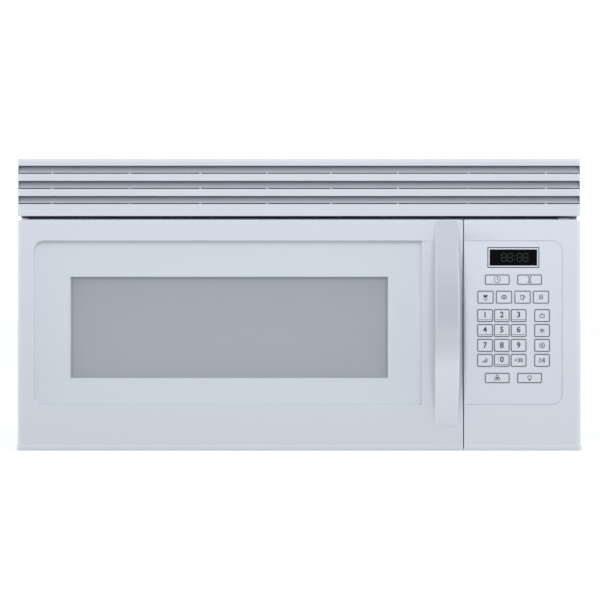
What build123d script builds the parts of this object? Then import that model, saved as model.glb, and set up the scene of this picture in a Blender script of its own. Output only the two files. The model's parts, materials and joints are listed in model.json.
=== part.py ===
"""Over-the-range microwave oven: millimetres, +Z up, the user stands on the -Y side.

The origin is at the bottom centre of the whole object.  The fascia (grille, door and control panel) stands
in front of a sheet-metal chassis that carries the oven, the power parts and the ventilation.
"""

import os
from math import cos, hypot, radians, sin, sqrt

from build123d import *

os.makedirs("parts", exist_ok=True)

# ---------------------------------------------------------------------------------------------------------
# Driving dimensions
# ---------------------------------------------------------------------------------------------------------
overall_width = 759.0  # across the bottom lips of the fascia
overall_height = 392.0
overall_depth = 415.0  # handle crown to back plate
handle_projection = 30.0
fascia_depth = 45.0  # thickness of door, panel and grille
lip_flare = 1.2  # how far the bottom lip stands proud
sheet = 1.0  # steel sheet of the chassis
seat_gap = 0.1  # gap between sheets that are screwed together
case_bend = 4.0
plastic_wall = 3.0

side_x = overall_width / 2 - lip_flare
back_y = overall_depth / 2
face_y = -overall_depth / 2 + handle_projection
chassis_y = face_y + fascia_depth
moulding_back_y = chassis_y - 0.5
case_front_y = chassis_y + sheet + seat_gap
case_back_y = back_y - sheet - seat_gap

# Fascia heights
fascia_bottom = 1.0
fascia_top = 309.8
grille_bottom = 314.5
front_plate_top = 313.0
corner_radius = 8.0
lip_height = 6.0
lip_round = 1.1
top_round = 2.5

# Door and panel seam, shallow recess that runs across both
door_right_x = 219.2
panel_left_x = 220.5
recess_left_x = -356.2
recess_right_x = 353.2
recess_bottom = 61.4
recess_top = 281.5
recess_depth = 1.0
recess_corner = 14.0

# Door hinge
hinge_inset = 8.0
hinge_back = 12.0
hinge_x = -side_x + hinge_inset
hinge_y = moulding_back_y - hinge_back
hinge_pin_radius = 3.0
hinge_pin_clearance = 0.1
hinge_pin_length = 11.0
hinge_plate = 2.0
hinge_arm_half_width = 7.0
hinge_pocket_height = 5.0
hinge_pocket_radius = 15.0
hinge_boss_radius = 6.5
hinge_boss_height = 14.0
lower_hinge_z = 3.0
upper_hinge_z = 310.6

# Window of the door
window_right_x = 164.5
window_depth = 10.0
glass_front_y = face_y + window_depth
glass_thickness = 4.0
glass_lap = 3.0
window_rim = 4.0
mesh_left_x = -307.2
mesh_right_x = 119.2
mesh_bottom = 97.2
mesh_top = 232.7

# Finger relief on both sides of the seam: bevels (width, depth) that curve away from nothing at both ends
relief_bottom = 48.0
relief_top = 284.0
door_bevels = ((21.0, 12.0),)
panel_bevels = ((12.0, 2.6), (7.0, 5.0), (3.0, 9.0))

# Handle
handle_x = 197.4
handle_end_width = 29.0
handle_middle_width = 33.0
handle_bottom = 33.0
handle_top = 308.0
handle_end_thickness = 8.5
handle_grip_thickness = 11.5
handle_foot = 24.0
handle_corner = 6.5
handle_edge = 2.8

# Steel pan and choke of the door
pan_sheet = 1.0
pan_left_x = -362.0
pan_right_x = 176.0
pan_bottom = 30.0
pan_top = 286.0
pan_back_y = moulding_back_y - 5.2
pan_front_y = glass_front_y + glass_thickness + 3.0
well_margin = 10.0
well_draft = 6.0
choke_margin = 4.0
choke_plate = 1.8
choke_front_y = pan_back_y + 0.2
choke_back_y = moulding_back_y - 0.4

# Latch
latch_travel = 3.0
latch_left_x = 188.0
latch_right_x = 196.0
latch_bar_front_y = -152.0
latch_bar_back_y = -144.0
latch_bottom = 66.0
latch_top = 250.0
hook_height = 10.0
hook_reach_y = -117.0
hook_lip = 4.0
hook_lip_length = 5.0
hook_nose = 3.0
latch_slot_side = 3.0
latch_slot_end = 2.0
latch_guide_gap = 0.5
latch_guide_wall = 2.0
latch_guide_height = 8.0
latch_guide_levels = (100.0, 158.0, 216.0)
bracket_depth = 8.0
switch_width = 10.0
switch_depth = 16.0
switch_height = 28.0

# Oven cavity
cavity_left_x = -340.0
cavity_right_x = 160.0
cavity_bottom = 50.0
cavity_top = 262.0
cavity_back_y = 192.0
cavity_corner = 12.0
aperture_corner = 10.0
waveguide_depth = 36.0
waveguide_front_y = -20.0
waveguide_back_y = 70.0
waveguide_bottom = 130.0
waveguide_top = 258.0
port_width = 70.0
port_height = 40.0
port_y = 25.0
port_z = 160.0
waveguide_cover_margin = 8.0
waveguide_cover_thickness = 0.6

# Turntable
turntable_x = (cavity_left_x + cavity_right_x) / 2
turntable_y = (case_front_y + cavity_back_y) / 2
tray_radius = 152.5
tray_thickness = 4.5
tray_rim_height = 12.0
tray_flat_radius = 134.0
roller_radius = 8.0
roller_width = 8.0
roller_circle = 104.0
roller_count = 3
running_gap = 0.3
axle_radius = 2.0
axle_clearance = 0.1
axle_cap_radius = 3.0
axle_cap = 2.0
ring_inner_radius = 84.0
ring_outer_radius = 92.0
ring_height = 5.0
shaft_hole_radius = 9.0
coupler_hub_radius = 7.0
coupler_lobe_length = 24.0
coupler_lobe_width = 9.0
coupler_lobe_bottom = 52.5
coupler_lobe_top = 60.5
coupler_shaft_radius = 3.0
coupler_shaft_bottom = 38.0
coupler_hub_bottom = 49.3
lug_height = 5.0
lug_radius = 3.0
lug_sides = 8
lug_circle = 17.0
motor_radius = 25.0
motor_sides = 24
motor_height = 16.0
motor_ear_length = 62.0
motor_ear_width = 12.0
motor_ear_thickness = 1.5

axle_z = cavity_bottom + running_gap + roller_radius
tray_bottom = axle_z + roller_radius + running_gap

# Vent grille
slot_count = 3
slot_pitch = 20.3
slot_first_top = 381.9
slot_height = 10.7
grille_wall = 2.5
slat_edge = 0.9
fin_depth = 9.5
fin_thickness = 1.5
air_gap = 1.3
grille_rib_width = 2.4
grille_rib_back = 7.5
grille_rib_x = (43.0, 132.5, 227.0, 331.0)
grille_end_wall = 1.8
grille_back_y = case_front_y - 0.2

# Control panel: keypad and display
overlay_thickness = 1.0
overlay_clearance = 0.3
keypad_wall_back_y = face_y + 5.5
key_thickness = 0.8
key_proud = 0.4
key_corner = 1.4
key_clearance = 0.3
display_left_x = 255.6
display_right_x = 319.3
display_bottom = 247.9
display_top = 269.7
display_flange = 2.0
panel_tab_x = 357.0
panel_tab_width = 14.0
panel_tab_front_y = -158.0
panel_tab_top = 312.6
board_left_x = 242.0
board_right_x = 345.0
board_bottom = 70.0
board_top = 280.0
board_y = -158.0
board_thickness = 1.6
board_post_width = 6.0
board_post_inset = 7.0
relay_size = 20.0
relay_height = 26.0
relay_depth = 18.0
relay_inset = 12.0
relay_levels = (100.0, 135.0, 170.0)
connector_width = 40.0
connector_height = 35.0
connector_depth = 22.0
connector_bottom = 90.0

number_column_x = (249.4, 271.9, 294.45)
side_column_x = 325.9
number_key_width = 20.9
number_row_z = (180.9, 160.85, 140.9, 120.85)
number_key_height = 17.1
wide_key_x = (265.8, 309.15)
wide_key_width = 33.0
wide_key_height = 13.6
wide_row_z = (229.1, 97.15)
quick_key_x = (250.05, 274.85, 299.65, 324.45)
quick_key_width = 21.7
quick_key_height = 17.2
quick_row_z = 205.6

# Base plate, filters and lamps
base_flange = 14.0
filter_width = 229.0
filter_depth = 152.0
filter_x = 230.5
filter_y = -24.0
filter_thickness = 8.0
filter_ledge = 5.0
filter_frame = 9.0
filter_mesh_inset = 1.5
lens_x = 45.0
lens_y = -60.0
lens_width = 70.0
lens_depth = 50.0
lens_ledge = 4.0
lens_flange = 2.0
louvre_count = 4
louvre_length = 90.0
louvre_width = 5.0
louvre_pitch = 11.0
louvre_x = 306.0
louvre_y = 180.0

# Cabinet and wall fixings, exhaust, cord gland
bolt_spacing = 610.0
bolt_y = -70.0
bolt_hole_radius = 3.6
wall_slot_spacing = 500.0
wall_slot_length = 40.0
wall_slot_radius = 3.0
wall_slot_z = 24.0
back_panel_margin = 60.0
back_panel_emboss = 1.0
exhaust_width = 254.0
exhaust_depth = 81.6
exhaust_y = 145.0
gland_x = 330.0
gland_y = 60.0
gland_bore = 4.2
gland_neck = 8.0
gland_length = 16.0
gland_nut_across = 22.0

# Ventilation blower
blower_y = 150.0
blower_z = 330.0
scroll_radius = 47.0
scroll_wall = 1.2
scroll_inner_x = 42.0
scroll_outer_x = 112.0
scroll_outlet_half = 37.0
scroll_outlet_z = 374.0
scroll_inlet_radius = 33.0
wheel_radius = 42.0
wheel_blade_depth = 9.0
wheel_blade_thickness = 1.2
wheel_blade_count = 12
wheel_sides = 24
wheel_disc = 1.5
wheel_inner_x = 50.0
wheel_outer_x = 104.0
wheel_hub_radius = 9.0
wheel_ring_width = 3.0
blower_shaft_radius = 4.0
blower_motor_radius = 33.0
blower_motor_half = 36.0
duct_height = 16.0

# Power parts
magnetron_flange = 3.0
magnetron_width = 90.0
magnetron_depth = 80.0
magnetron_height = 92.0
magnetron_y = 25.0
magnetron_z = 206.0
magnetron_yoke = 2.0
magnetron_core_radius = 20.0
magnetron_fin_count = 6
magnetron_core_sides = 12
magnetron_fin = 0.8
antenna_radius = 8.5
antenna_length = 22.0
antenna_hole_radius = 12.0
transformer_x = 315.0
transformer_y = 103.0
transformer_width = 104.0
transformer_depth = 84.0
transformer_height = 78.0
transformer_coil_depth = 70.0
transformer_coil_width = 66.0
capacitor_x = 212.0
capacitor_y = 103.0
capacitor_width = 54.0
capacitor_height = 34.0
capacitor_length = 84.0
terminal_size = 6.0
terminal_length = 10.0

# Cooling fan
fan_x = 306.0
fan_z = 190.0
fan_plate_y = 152.0
fan_plate_left_x = 240.0
fan_plate_top = 262.0
fan_hole_radius = 52.0
fan_radius = 47.0
fan_hub_radius = 13.0
fan_blade_count = 5
fan_blade_width = 26.0
fan_blade_pitch = 32.0
fan_blade_thickness = 1.6
fan_rotor_y = 166.0
fan_hub_length = 16.0
fan_shaft_radius = 2.5
fan_motor_front_y = 180.0
fan_motor_length = 20.0
fan_motor_width = 44.0
fan_arm_width = 8.0

# Charcoal filter behind the grille
charcoal_half_width = 150.0
charcoal_bottom = 322.0
charcoal_top = 384.0
charcoal_front_y = -126.0
charcoal_thickness = 12.0
charcoal_frame = 8.0
charcoal_recess = 2.0


# ---------------------------------------------------------------------------------------------------------
# Shared helpers: each one draws or cuts inside the block that calls it
# ---------------------------------------------------------------------------------------------------------
def front_plane(y):
    """Sketch plane seen from the front at depth y: its x is X and its y is Z."""
    return Plane.XZ.offset(-y)


def side_plane(x):
    """Sketch plane seen from the right at x: its x is Y and its y is Z."""
    return Plane.YZ.offset(x)


def span_rectangle(x0, x1, z0, z1, radius=0.0, mode=Mode.ADD):
    """Rectangle between two corners, with rounded corners when a radius is given."""
    with Locations(((x0 + x1) / 2, (z0 + z1) / 2)):
        if radius > 0:
            RectangleRounded(x1 - x0, z1 - z0, radius, mode=mode)
        else:
            Rectangle(x1 - x0, z1 - z0, mode=mode)


def block(x0, x1, y0, y1, z0, z1, mode=Mode.ADD):
    """Square-cornered block between two corners."""
    with Locations(((x0 + x1) / 2, (y0 + y1) / 2, (z0 + z1) / 2)):
        Box(x1 - x0, y1 - y0, z1 - z0, mode=mode)


def grip_relief(corner_x, side, bevels, grow, mode):
    """Bevels on the front edge at the seam, each cut along an arc that is deepest at mid height."""
    middle = (relief_bottom + relief_top) / 2
    for width, depth in bevels:
        slope = hypot(width, depth)
        inward = (side * depth / slope, width / slope, 0)
        along = (width / slope, -side * depth / slope, 0)
        low = (grow, relief_bottom)
        high = (grow, relief_top)
        deepest = (grow + width * depth / slope, middle)
        with BuildSketch(Plane(origin=(corner_x, face_y, 0), x_dir=inward, z_dir=along)) as profile:
            with BuildLine():
                ThreePointArc(low, deepest, high)
                Polyline(high, (-slope, relief_top), (-slope, relief_bottom), low)
            make_face()
        extrude(profile.sketch, amount=2 * slope, both=True, mode=mode)


def lip_edges(builder):
    """Upper and lower front edges of a moulding's bottom lip."""
    front_edges = builder.edges().filter_by_position(Axis.Y, face_y - 2 * lip_flare, hinge_y)
    levels = front_edges.group_by(Axis.Z)
    return levels[0] + levels[-1]


def finish(builder, name):
    """Label a finished piece and write it."""
    builder.part.label = name
    export_step(builder.part, f"parts/{name}.step")


# ---------------------------------------------------------------------------------------------------------
# Chassis
# ---------------------------------------------------------------------------------------------------------
case_length = case_back_y - case_front_y

with BuildPart() as outer_case:
    # One sheet bent down over both sides, with a narrow foot turned in under the base plate's flange.
    with BuildSketch(front_plane(case_front_y)):
        with BuildLine():
            FilletPolyline(
                (-side_x, 0),
                (-side_x, overall_height),
                (side_x, overall_height),
                (side_x, 0),
                radius=case_bend,
            )
            Line((side_x, 0), (side_x - sheet, 0))
            FilletPolyline(
                (side_x - sheet, 0),
                (side_x - sheet, overall_height - sheet),
                (sheet - side_x, overall_height - sheet),
                (sheet - side_x, 0),
                radius=case_bend - sheet,
            )
            Line((sheet - side_x, 0), (-side_x, 0))
        make_face()
    extrude(amount=-case_length)
    # Exhaust outlet, bolt holes for the cabinet above, and the hole for the cord gland.
    with BuildSketch(Plane.XY.offset(overall_height)):
        with Locations((0, exhaust_y)):
            Rectangle(exhaust_width, exhaust_depth)
        with Locations((-bolt_spacing / 2, bolt_y), (bolt_spacing / 2, bolt_y)):
            Circle(bolt_hole_radius)
        with Locations((gland_x, gland_y)):
            Circle(gland_neck + overlay_clearance)
    extrude(amount=-2 * sheet, mode=Mode.SUBTRACT)
finish(outer_case, "outer_case")

with BuildPart() as back_plate:
    with BuildSketch(front_plane(back_y)):
        span_rectangle(-side_x, side_x, 0, overall_height, case_bend)
    extrude(amount=sheet)
    # The middle of the sheet is pressed inwards to stiffen it.
    pressed_x = side_x - back_panel_margin
    pressed_top = overall_height - back_panel_margin
    with BuildSketch(front_plane(back_y - sheet)):
        span_rectangle(-pressed_x, pressed_x, back_panel_margin, pressed_top)
    extrude(amount=back_panel_emboss)
    with BuildSketch(front_plane(back_y)):
        span_rectangle(-pressed_x + sheet, pressed_x - sheet, back_panel_margin + sheet, pressed_top - sheet)
    extrude(amount=back_panel_emboss, mode=Mode.SUBTRACT)
    # Slots that drop over the tabs of the wall plate.
    with BuildSketch(front_plane(back_y)):
        with Locations((-wall_slot_spacing / 2, wall_slot_z), (wall_slot_spacing / 2, wall_slot_z)):
            SlotOverall(wall_slot_length, 2 * wall_slot_radius)
    extrude(amount=sheet, mode=Mode.SUBTRACT)
finish(back_plate, "back_plate")

base_half_x = side_x - sheet - seat_gap
base_back_y = case_back_y

with BuildPart() as base_plate:
    with BuildSketch():
        span_rectangle(-base_half_x, base_half_x, case_front_y, base_back_y)
    extrude(amount=base_flange)
    with BuildSketch(Plane.XY.offset(sheet)):
        span_rectangle(-base_half_x + sheet, base_half_x - sheet, case_front_y + sheet, base_back_y - sheet)
    extrude(amount=base_flange, mode=Mode.SUBTRACT)
    # Openings for the two grease filters, the two lamps, and cooling air for the power parts.
    with BuildSketch():
        with Locations((-filter_x, filter_y), (filter_x, filter_y)):
            Rectangle(filter_width - 2 * filter_ledge, filter_depth - 2 * filter_ledge)
        with Locations((-lens_x, lens_y), (lens_x, lens_y)):
            Rectangle(lens_width - 2 * lens_ledge, lens_depth - 2 * lens_ledge)
        with Locations((louvre_x, louvre_y)):
            with GridLocations(0, louvre_pitch, 1, louvre_count):
                Rectangle(louvre_length, louvre_width)
    extrude(amount=sheet, mode=Mode.SUBTRACT)
finish(base_plate, "base_plate")

hook_levels = (latch_bottom + hook_lip, latch_top - hook_height)


def hook_slots(x0, x1):
    """Outline of the two latch slots, tall enough for the hooks at both ends of their travel."""
    for level in hook_levels:
        bottom = level - hook_lip - latch_slot_end
        top = level + hook_height + latch_travel + latch_slot_end
        span_rectangle(x0, x1, bottom, top)


with BuildPart() as front_plate:
    with BuildSketch(front_plane(chassis_y)):
        span_rectangle(-side_x, side_x, 0, front_plate_top)
        span_rectangle(cavity_left_x, cavity_right_x, cavity_bottom, cavity_top, aperture_corner,
                       Mode.SUBTRACT)
        span_rectangle(board_left_x, board_right_x, board_bottom, board_top, corner_radius, Mode.SUBTRACT)
    extrude(amount=-sheet)
    with BuildSketch(front_plane(chassis_y)):
        hook_slots(latch_left_x - latch_slot_side, latch_right_x + latch_slot_side)
    extrude(amount=-sheet, mode=Mode.SUBTRACT)
finish(front_plate, "front_plate")

# ---------------------------------------------------------------------------------------------------------
# Oven
# ---------------------------------------------------------------------------------------------------------
cavity_length = cavity_back_y - case_front_y
waveguide_x = cavity_right_x + sheet + waveguide_depth
antenna_z = magnetron_z

with BuildPart() as oven_cavity:
    with BuildSketch(front_plane(case_front_y)):
        span_rectangle(cavity_left_x - sheet, cavity_right_x + sheet, cavity_bottom - sheet,
                       cavity_top + sheet, cavity_corner + sheet)
    extrude(amount=-cavity_length - sheet)
    # The waveguide is a channel welded along the right wall.
    block(cavity_right_x, waveguide_x, waveguide_front_y, waveguide_back_y, waveguide_bottom, waveguide_top)
    with BuildSketch(front_plane(case_front_y)):
        span_rectangle(cavity_left_x, cavity_right_x, cavity_bottom, cavity_top, cavity_corner)
    extrude(amount=-cavity_length, mode=Mode.SUBTRACT)
    block(cavity_right_x + sheet, waveguide_x - sheet, waveguide_front_y + sheet, waveguide_back_y - sheet,
          waveguide_bottom + sheet, waveguide_top - sheet, Mode.SUBTRACT)
    # Port from the waveguide into the oven, and the antenna's hole in the outer wall.
    with BuildSketch(side_plane(cavity_right_x)):
        with Locations((port_y, port_z)):
            Rectangle(port_width, port_height)
    extrude(amount=sheet, mode=Mode.SUBTRACT)
    with BuildSketch(side_plane(waveguide_x)):
        with Locations((magnetron_y, antenna_z)):
            Circle(antenna_hole_radius)
    extrude(amount=-sheet, mode=Mode.SUBTRACT)
    with BuildSketch(Plane.XY.offset(cavity_bottom)):
        with Locations((turntable_x, turntable_y)):
            Circle(shaft_hole_radius)
    extrude(amount=-sheet, mode=Mode.SUBTRACT)
finish(oven_cavity, "oven_cavity")

with BuildPart() as waveguide_cover:
    with BuildSketch(side_plane(cavity_right_x)):
        with Locations((port_y, port_z)):
            Rectangle(port_width + 2 * waveguide_cover_margin, port_height + 2 * waveguide_cover_margin)
    extrude(amount=-waveguide_cover_thickness)
finish(waveguide_cover, "waveguide_cover")

# ---------------------------------------------------------------------------------------------------------
# Turntable
# ---------------------------------------------------------------------------------------------------------

with BuildPart() as turntable_tray:
    # Half section of the glass: a flat plate whose rim sweeps up.
    with BuildSketch(Plane.XZ.offset(-turntable_y)):
        with BuildLine():
            Polyline(
                (turntable_x, tray_bottom),
                (turntable_x + tray_flat_radius, tray_bottom),
                (turntable_x + tray_radius, tray_bottom + tray_rim_height - sheet),
                (turntable_x + tray_radius - sheet, tray_bottom + tray_rim_height),
                (turntable_x + tray_flat_radius - sheet, tray_bottom + tray_thickness),
                (turntable_x, tray_bottom + tray_thickness),
                close=True,
            )
        make_face()
    revolve(axis=Axis((turntable_x, turntable_y, 0), (0, 0, 1)))
    # Three lugs under the middle sit between the lobes of the coupler.
    with BuildSketch(Plane.XY.offset(tray_bottom)):
        with Locations((turntable_x, turntable_y)):
            with PolarLocations(lug_circle, roller_count, 30):
                RegularPolygon(lug_radius, lug_sides)
    extrude(amount=-lug_height)
finish(turntable_tray, "turntable_tray")

with BuildPart() as drive_coupler:
    with BuildSketch(Plane.XY.offset(coupler_lobe_bottom)):
        with Locations((turntable_x, turntable_y)):
            Circle(coupler_hub_radius)
            with PolarLocations(coupler_lobe_length / 2, roller_count, 90):
                Rectangle(coupler_lobe_length, coupler_lobe_width)
    extrude(amount=coupler_lobe_top - coupler_lobe_bottom)
    with BuildSketch(Plane.XY.offset(coupler_hub_bottom)):
        with Locations((turntable_x, turntable_y)):
            Circle(coupler_hub_radius)
    extrude(amount=coupler_lobe_bottom - coupler_hub_bottom)
    with BuildSketch(Plane.XY.offset(coupler_shaft_bottom)):
        with Locations((turntable_x, turntable_y)):
            Circle(coupler_shaft_radius)
    extrude(amount=coupler_hub_bottom - coupler_shaft_bottom)
finish(drive_coupler, "drive_coupler")

with BuildPart() as turntable_motor:
    with BuildSketch(Plane.XY.offset(cavity_bottom - sheet)):
        with Locations((turntable_x, turntable_y)):
            RegularPolygon(motor_radius, motor_sides)
    extrude(amount=-motor_height)
    with BuildSketch(Plane.XY.offset(cavity_bottom - sheet)):
        with Locations((turntable_x, turntable_y)):
            Rectangle(motor_ear_length, motor_ear_width)
    extrude(amount=-motor_ear_thickness)
    with BuildSketch(Plane.XY.offset(cavity_bottom - sheet)):
        with Locations((turntable_x, turntable_y)):
            Circle(coupler_shaft_radius + hinge_pin_clearance)
    extrude(amount=coupler_shaft_bottom - cavity_bottom, mode=Mode.SUBTRACT)
finish(turntable_motor, "turntable_motor")

axle_end = roller_circle + roller_width / 2 + running_gap
ring_spoke_bottom = axle_z - ring_height / 2

with BuildPart() as roller_ring:
    with BuildSketch(Plane.XY.offset(ring_spoke_bottom)):
        with Locations((turntable_x, turntable_y)):
            Circle(ring_outer_radius)
            Circle(ring_inner_radius, mode=Mode.SUBTRACT)
    extrude(amount=ring_height)
    # Three stub axles point outwards, each with a cap that keeps its roller on.
    with Locations((turntable_x, turntable_y, axle_z)):
        with PolarLocations(ring_outer_radius - axle_cap, roller_count, 90):
            Cylinder(axle_radius, axle_end - ring_outer_radius + 2 * axle_cap, rotation=(0, 90, 0),
                     align=(Align.CENTER, Align.CENTER, Align.MIN))
        with PolarLocations(axle_end, roller_count, 90):
            Box(axle_cap, 2 * axle_cap_radius, 2 * axle_cap_radius, align=(Align.MIN, Align.CENTER, Align.CENTER))
finish(roller_ring, "roller_ring")

for index in range(roller_count):
    heading = 90 + 360 * index / roller_count
    roller_axis = Plane(
        origin=(turntable_x, turntable_y, axle_z),
        x_dir=(-sin(radians(heading)), cos(radians(heading)), 0),
        z_dir=(cos(radians(heading)), sin(radians(heading)), 0),
    )
    with BuildPart() as roller:
        with BuildSketch(roller_axis.offset(roller_circle - roller_width / 2)):
            Circle(roller_radius)
            Circle(axle_radius + axle_clearance, mode=Mode.SUBTRACT)
        extrude(amount=roller_width)
    finish(roller, f"roller_{index + 1}")

# ---------------------------------------------------------------------------------------------------------
# Door
# ---------------------------------------------------------------------------------------------------------
fascia_height = fascia_top - fascia_bottom


def arc_about(centre, start, end):
    """Arc round a centre, from start to end the short way."""
    radius = hypot(start[0] - centre[0], start[1] - centre[1])
    bisector = Vector(*start) + Vector(*end) - 2 * Vector(*centre)
    middle = Vector(*centre) + radius * bisector.normalized()
    ThreePointArc(start, middle, end)


def door_plan(grow=0.0):
    """Plan of the door: round front corner, and a back corner that turns clear about the hinge."""
    side = -side_x - grow
    front = face_y - grow
    with BuildLine() as outline:
        Line((hinge_x, moulding_back_y), (door_right_x, moulding_back_y))
        Line((door_right_x, moulding_back_y), (door_right_x, front))
        Line((door_right_x, front), (side + corner_radius, front))
        arc_about((side + corner_radius, front + corner_radius), (side + corner_radius, front),
                  (side, front + corner_radius))
        side_end = hinge_y + sqrt(hinge_back**2 - (side - hinge_x)**2)
        Line((side, front + corner_radius), (side, side_end))
        arc_about((hinge_x, hinge_y), (side, side_end), (hinge_x, moulding_back_y))
    make_face(outline.edges())


with BuildPart() as door_hollow:
    # Space inside the door moulding, open at the back.
    with BuildSketch(Plane.XY.offset(fascia_bottom + plastic_wall)):
        door_plan()
        offset(amount=-plastic_wall, mode=Mode.REPLACE)
        span_rectangle(hinge_x, door_right_x - plastic_wall, hinge_y, moulding_back_y + sheet)
    extrude(amount=fascia_height - 2 * plastic_wall)
    grip_relief(door_right_x, -1, door_bevels, plastic_wall, Mode.SUBTRACT)
    # Rim that the glass seats on.
    with BuildSketch(front_plane(face_y + plastic_wall)):
        span_rectangle(recess_left_x - window_rim, window_right_x + window_rim, recess_bottom - window_rim,
                       recess_top + window_rim)
    extrude(amount=face_y + plastic_wall - glass_front_y, mode=Mode.SUBTRACT)
    # Bosses for the hinge pins.
    for low, high in ((fascia_bottom, hinge_boss_height), (fascia_top - hinge_boss_height, fascia_top)):
        with BuildSketch(Plane.XY.offset(low)):
            with Locations((hinge_x, hinge_y)):
                Circle(hinge_boss_radius)
        extrude(amount=high - low, mode=Mode.SUBTRACT)
    # Guides on both sides of the latch bar.
    for level in latch_guide_levels:
        for wall_x in (latch_left_x - latch_guide_gap - latch_guide_wall, latch_right_x + latch_guide_gap):
            block(wall_x, wall_x + latch_guide_wall, face_y, latch_bar_back_y, level,
                  level + latch_guide_height, Mode.SUBTRACT)

with BuildPart() as door_lip:
    # Rounded lip along the bottom edge.
    with BuildSketch(Plane.XY.offset(fascia_bottom)):
        door_plan(lip_flare)
    extrude(amount=lip_height)
    chamfer(lip_edges(door_lip), lip_round)

with BuildPart() as door_frame:
    with BuildSketch(Plane.XY.offset(fascia_bottom)):
        door_plan()
    extrude(amount=fascia_height)
    top_edges = door_frame.faces().sort_by(Axis.Z)[-1].edges().filter_by_position(
        Axis.Y, face_y - sheet, hinge_y)
    fillet(top_edges, top_round)
    add(door_lip.part)
    add(door_hollow.part, mode=Mode.SUBTRACT)
    # Shallow recess and window.
    with BuildSketch(front_plane(face_y)):
        span_rectangle(recess_left_x, recess_right_x, recess_bottom, recess_top, recess_corner)
    extrude(amount=-recess_depth, mode=Mode.SUBTRACT)
    with BuildSketch(front_plane(face_y)):
        span_rectangle(recess_left_x, recess_right_x, recess_bottom, recess_top, recess_corner)
        span_rectangle(window_right_x, recess_right_x, recess_bottom, recess_top, 0.0, Mode.SUBTRACT)
    extrude(amount=glass_front_y - face_y, both=True, mode=Mode.SUBTRACT)
    grip_relief(door_right_x, -1, door_bevels, 0.0, Mode.SUBTRACT)
    # Bores for the pins, and a pocket round the lower hinge plate.
    with BuildSketch(Plane.XY.offset(fascia_bottom)):
        with Locations((hinge_x, hinge_y)):
            Circle(hinge_pin_radius + hinge_pin_clearance)
    extrude(amount=fascia_height, mode=Mode.SUBTRACT)
    with BuildSketch(Plane.XY):
        with Locations((hinge_x, hinge_y)):
            Circle(hinge_pocket_radius)
        span_rectangle(hinge_x - hinge_pocket_radius, hinge_x + hinge_arm_half_width + sheet, hinge_y,
                       chassis_y)
    extrude(amount=fascia_bottom + hinge_pocket_height, mode=Mode.SUBTRACT)
finish(door_frame, "door_frame")

with BuildPart() as door_glass:
    with BuildSketch(front_plane(glass_front_y)):
        span_rectangle(recess_left_x - glass_lap, window_right_x + glass_lap, recess_bottom - glass_lap,
                       recess_top + glass_lap)
    extrude(amount=-glass_thickness)
finish(door_glass, "door_glass")

well_left_x = mesh_left_x - well_margin
well_right_x = mesh_right_x + well_margin
well_bottom = mesh_bottom - well_margin
well_top = mesh_top + well_margin
well_depth = pan_back_y - pan_front_y

with BuildPart() as screen_pan:
    # Steel pan: a flat flange with a tapered well that holds the screen close behind the glass.
    with BuildSketch(front_plane(pan_back_y)):
        span_rectangle(pan_left_x, pan_right_x, pan_bottom, pan_top, corner_radius)
    extrude(amount=pan_sheet)
    with BuildSketch(front_plane(pan_back_y)):
        span_rectangle(well_left_x, well_right_x, well_bottom, well_top)
    extrude(amount=well_depth, taper=well_draft)
    with BuildSketch(front_plane(pan_back_y)):
        span_rectangle(well_left_x + pan_sheet, well_right_x - pan_sheet, well_bottom + pan_sheet,
                       well_top - pan_sheet)
    extrude(amount=well_depth - pan_sheet, taper=well_draft, mode=Mode.SUBTRACT)
    # Turned-up choke wall round the flange.
    with BuildSketch(front_plane(pan_back_y - pan_sheet)):
        span_rectangle(pan_left_x, pan_right_x, pan_bottom, pan_top, corner_radius)
        span_rectangle(pan_left_x + pan_sheet, pan_right_x - pan_sheet, pan_bottom + pan_sheet,
                       pan_top - pan_sheet, corner_radius - pan_sheet, Mode.SUBTRACT)
    extrude(amount=well_draft * 2)
finish(screen_pan, "screen_pan")

with BuildPart() as choke_cover:
    with BuildSketch(front_plane(choke_back_y)):
        span_rectangle(pan_left_x + choke_margin, pan_right_x - choke_margin, pan_bottom + choke_margin,
                       pan_top - choke_margin, corner_radius)
    extrude(amount=choke_back_y - choke_front_y)
    with BuildSketch(front_plane(choke_front_y)):
        span_rectangle(pan_left_x + choke_margin + choke_plate, pan_right_x - choke_margin - choke_plate,
                       pan_bottom + choke_margin + choke_plate, pan_top - choke_margin - choke_plate)
        span_rectangle(well_left_x + pan_sheet, well_right_x - pan_sheet, well_bottom + pan_sheet,
                       well_top - pan_sheet, 0.0, Mode.SUBTRACT)
    extrude(amount=choke_front_y - choke_back_y + choke_plate, mode=Mode.SUBTRACT)
    with BuildSketch(front_plane(choke_back_y)):
        span_rectangle(well_left_x + 3 * pan_sheet, well_right_x - 3 * pan_sheet, well_bottom + 3 * pan_sheet,
                       well_top - 3 * pan_sheet)
    extrude(amount=choke_back_y - choke_front_y, mode=Mode.SUBTRACT)
finish(choke_cover, "choke_cover")

handle_middle = (handle_bottom + handle_top) / 2
handle_crown_y = -overall_depth / 2
handle_end_y = face_y - handle_end_thickness
handle_half = handle_middle_width / 2
handle_end_half = handle_end_width / 2
handle_left_x = handle_x - handle_end_half
handle_right_x = handle_x + handle_end_half
handle_grip_y = handle_crown_y + handle_grip_thickness

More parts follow.
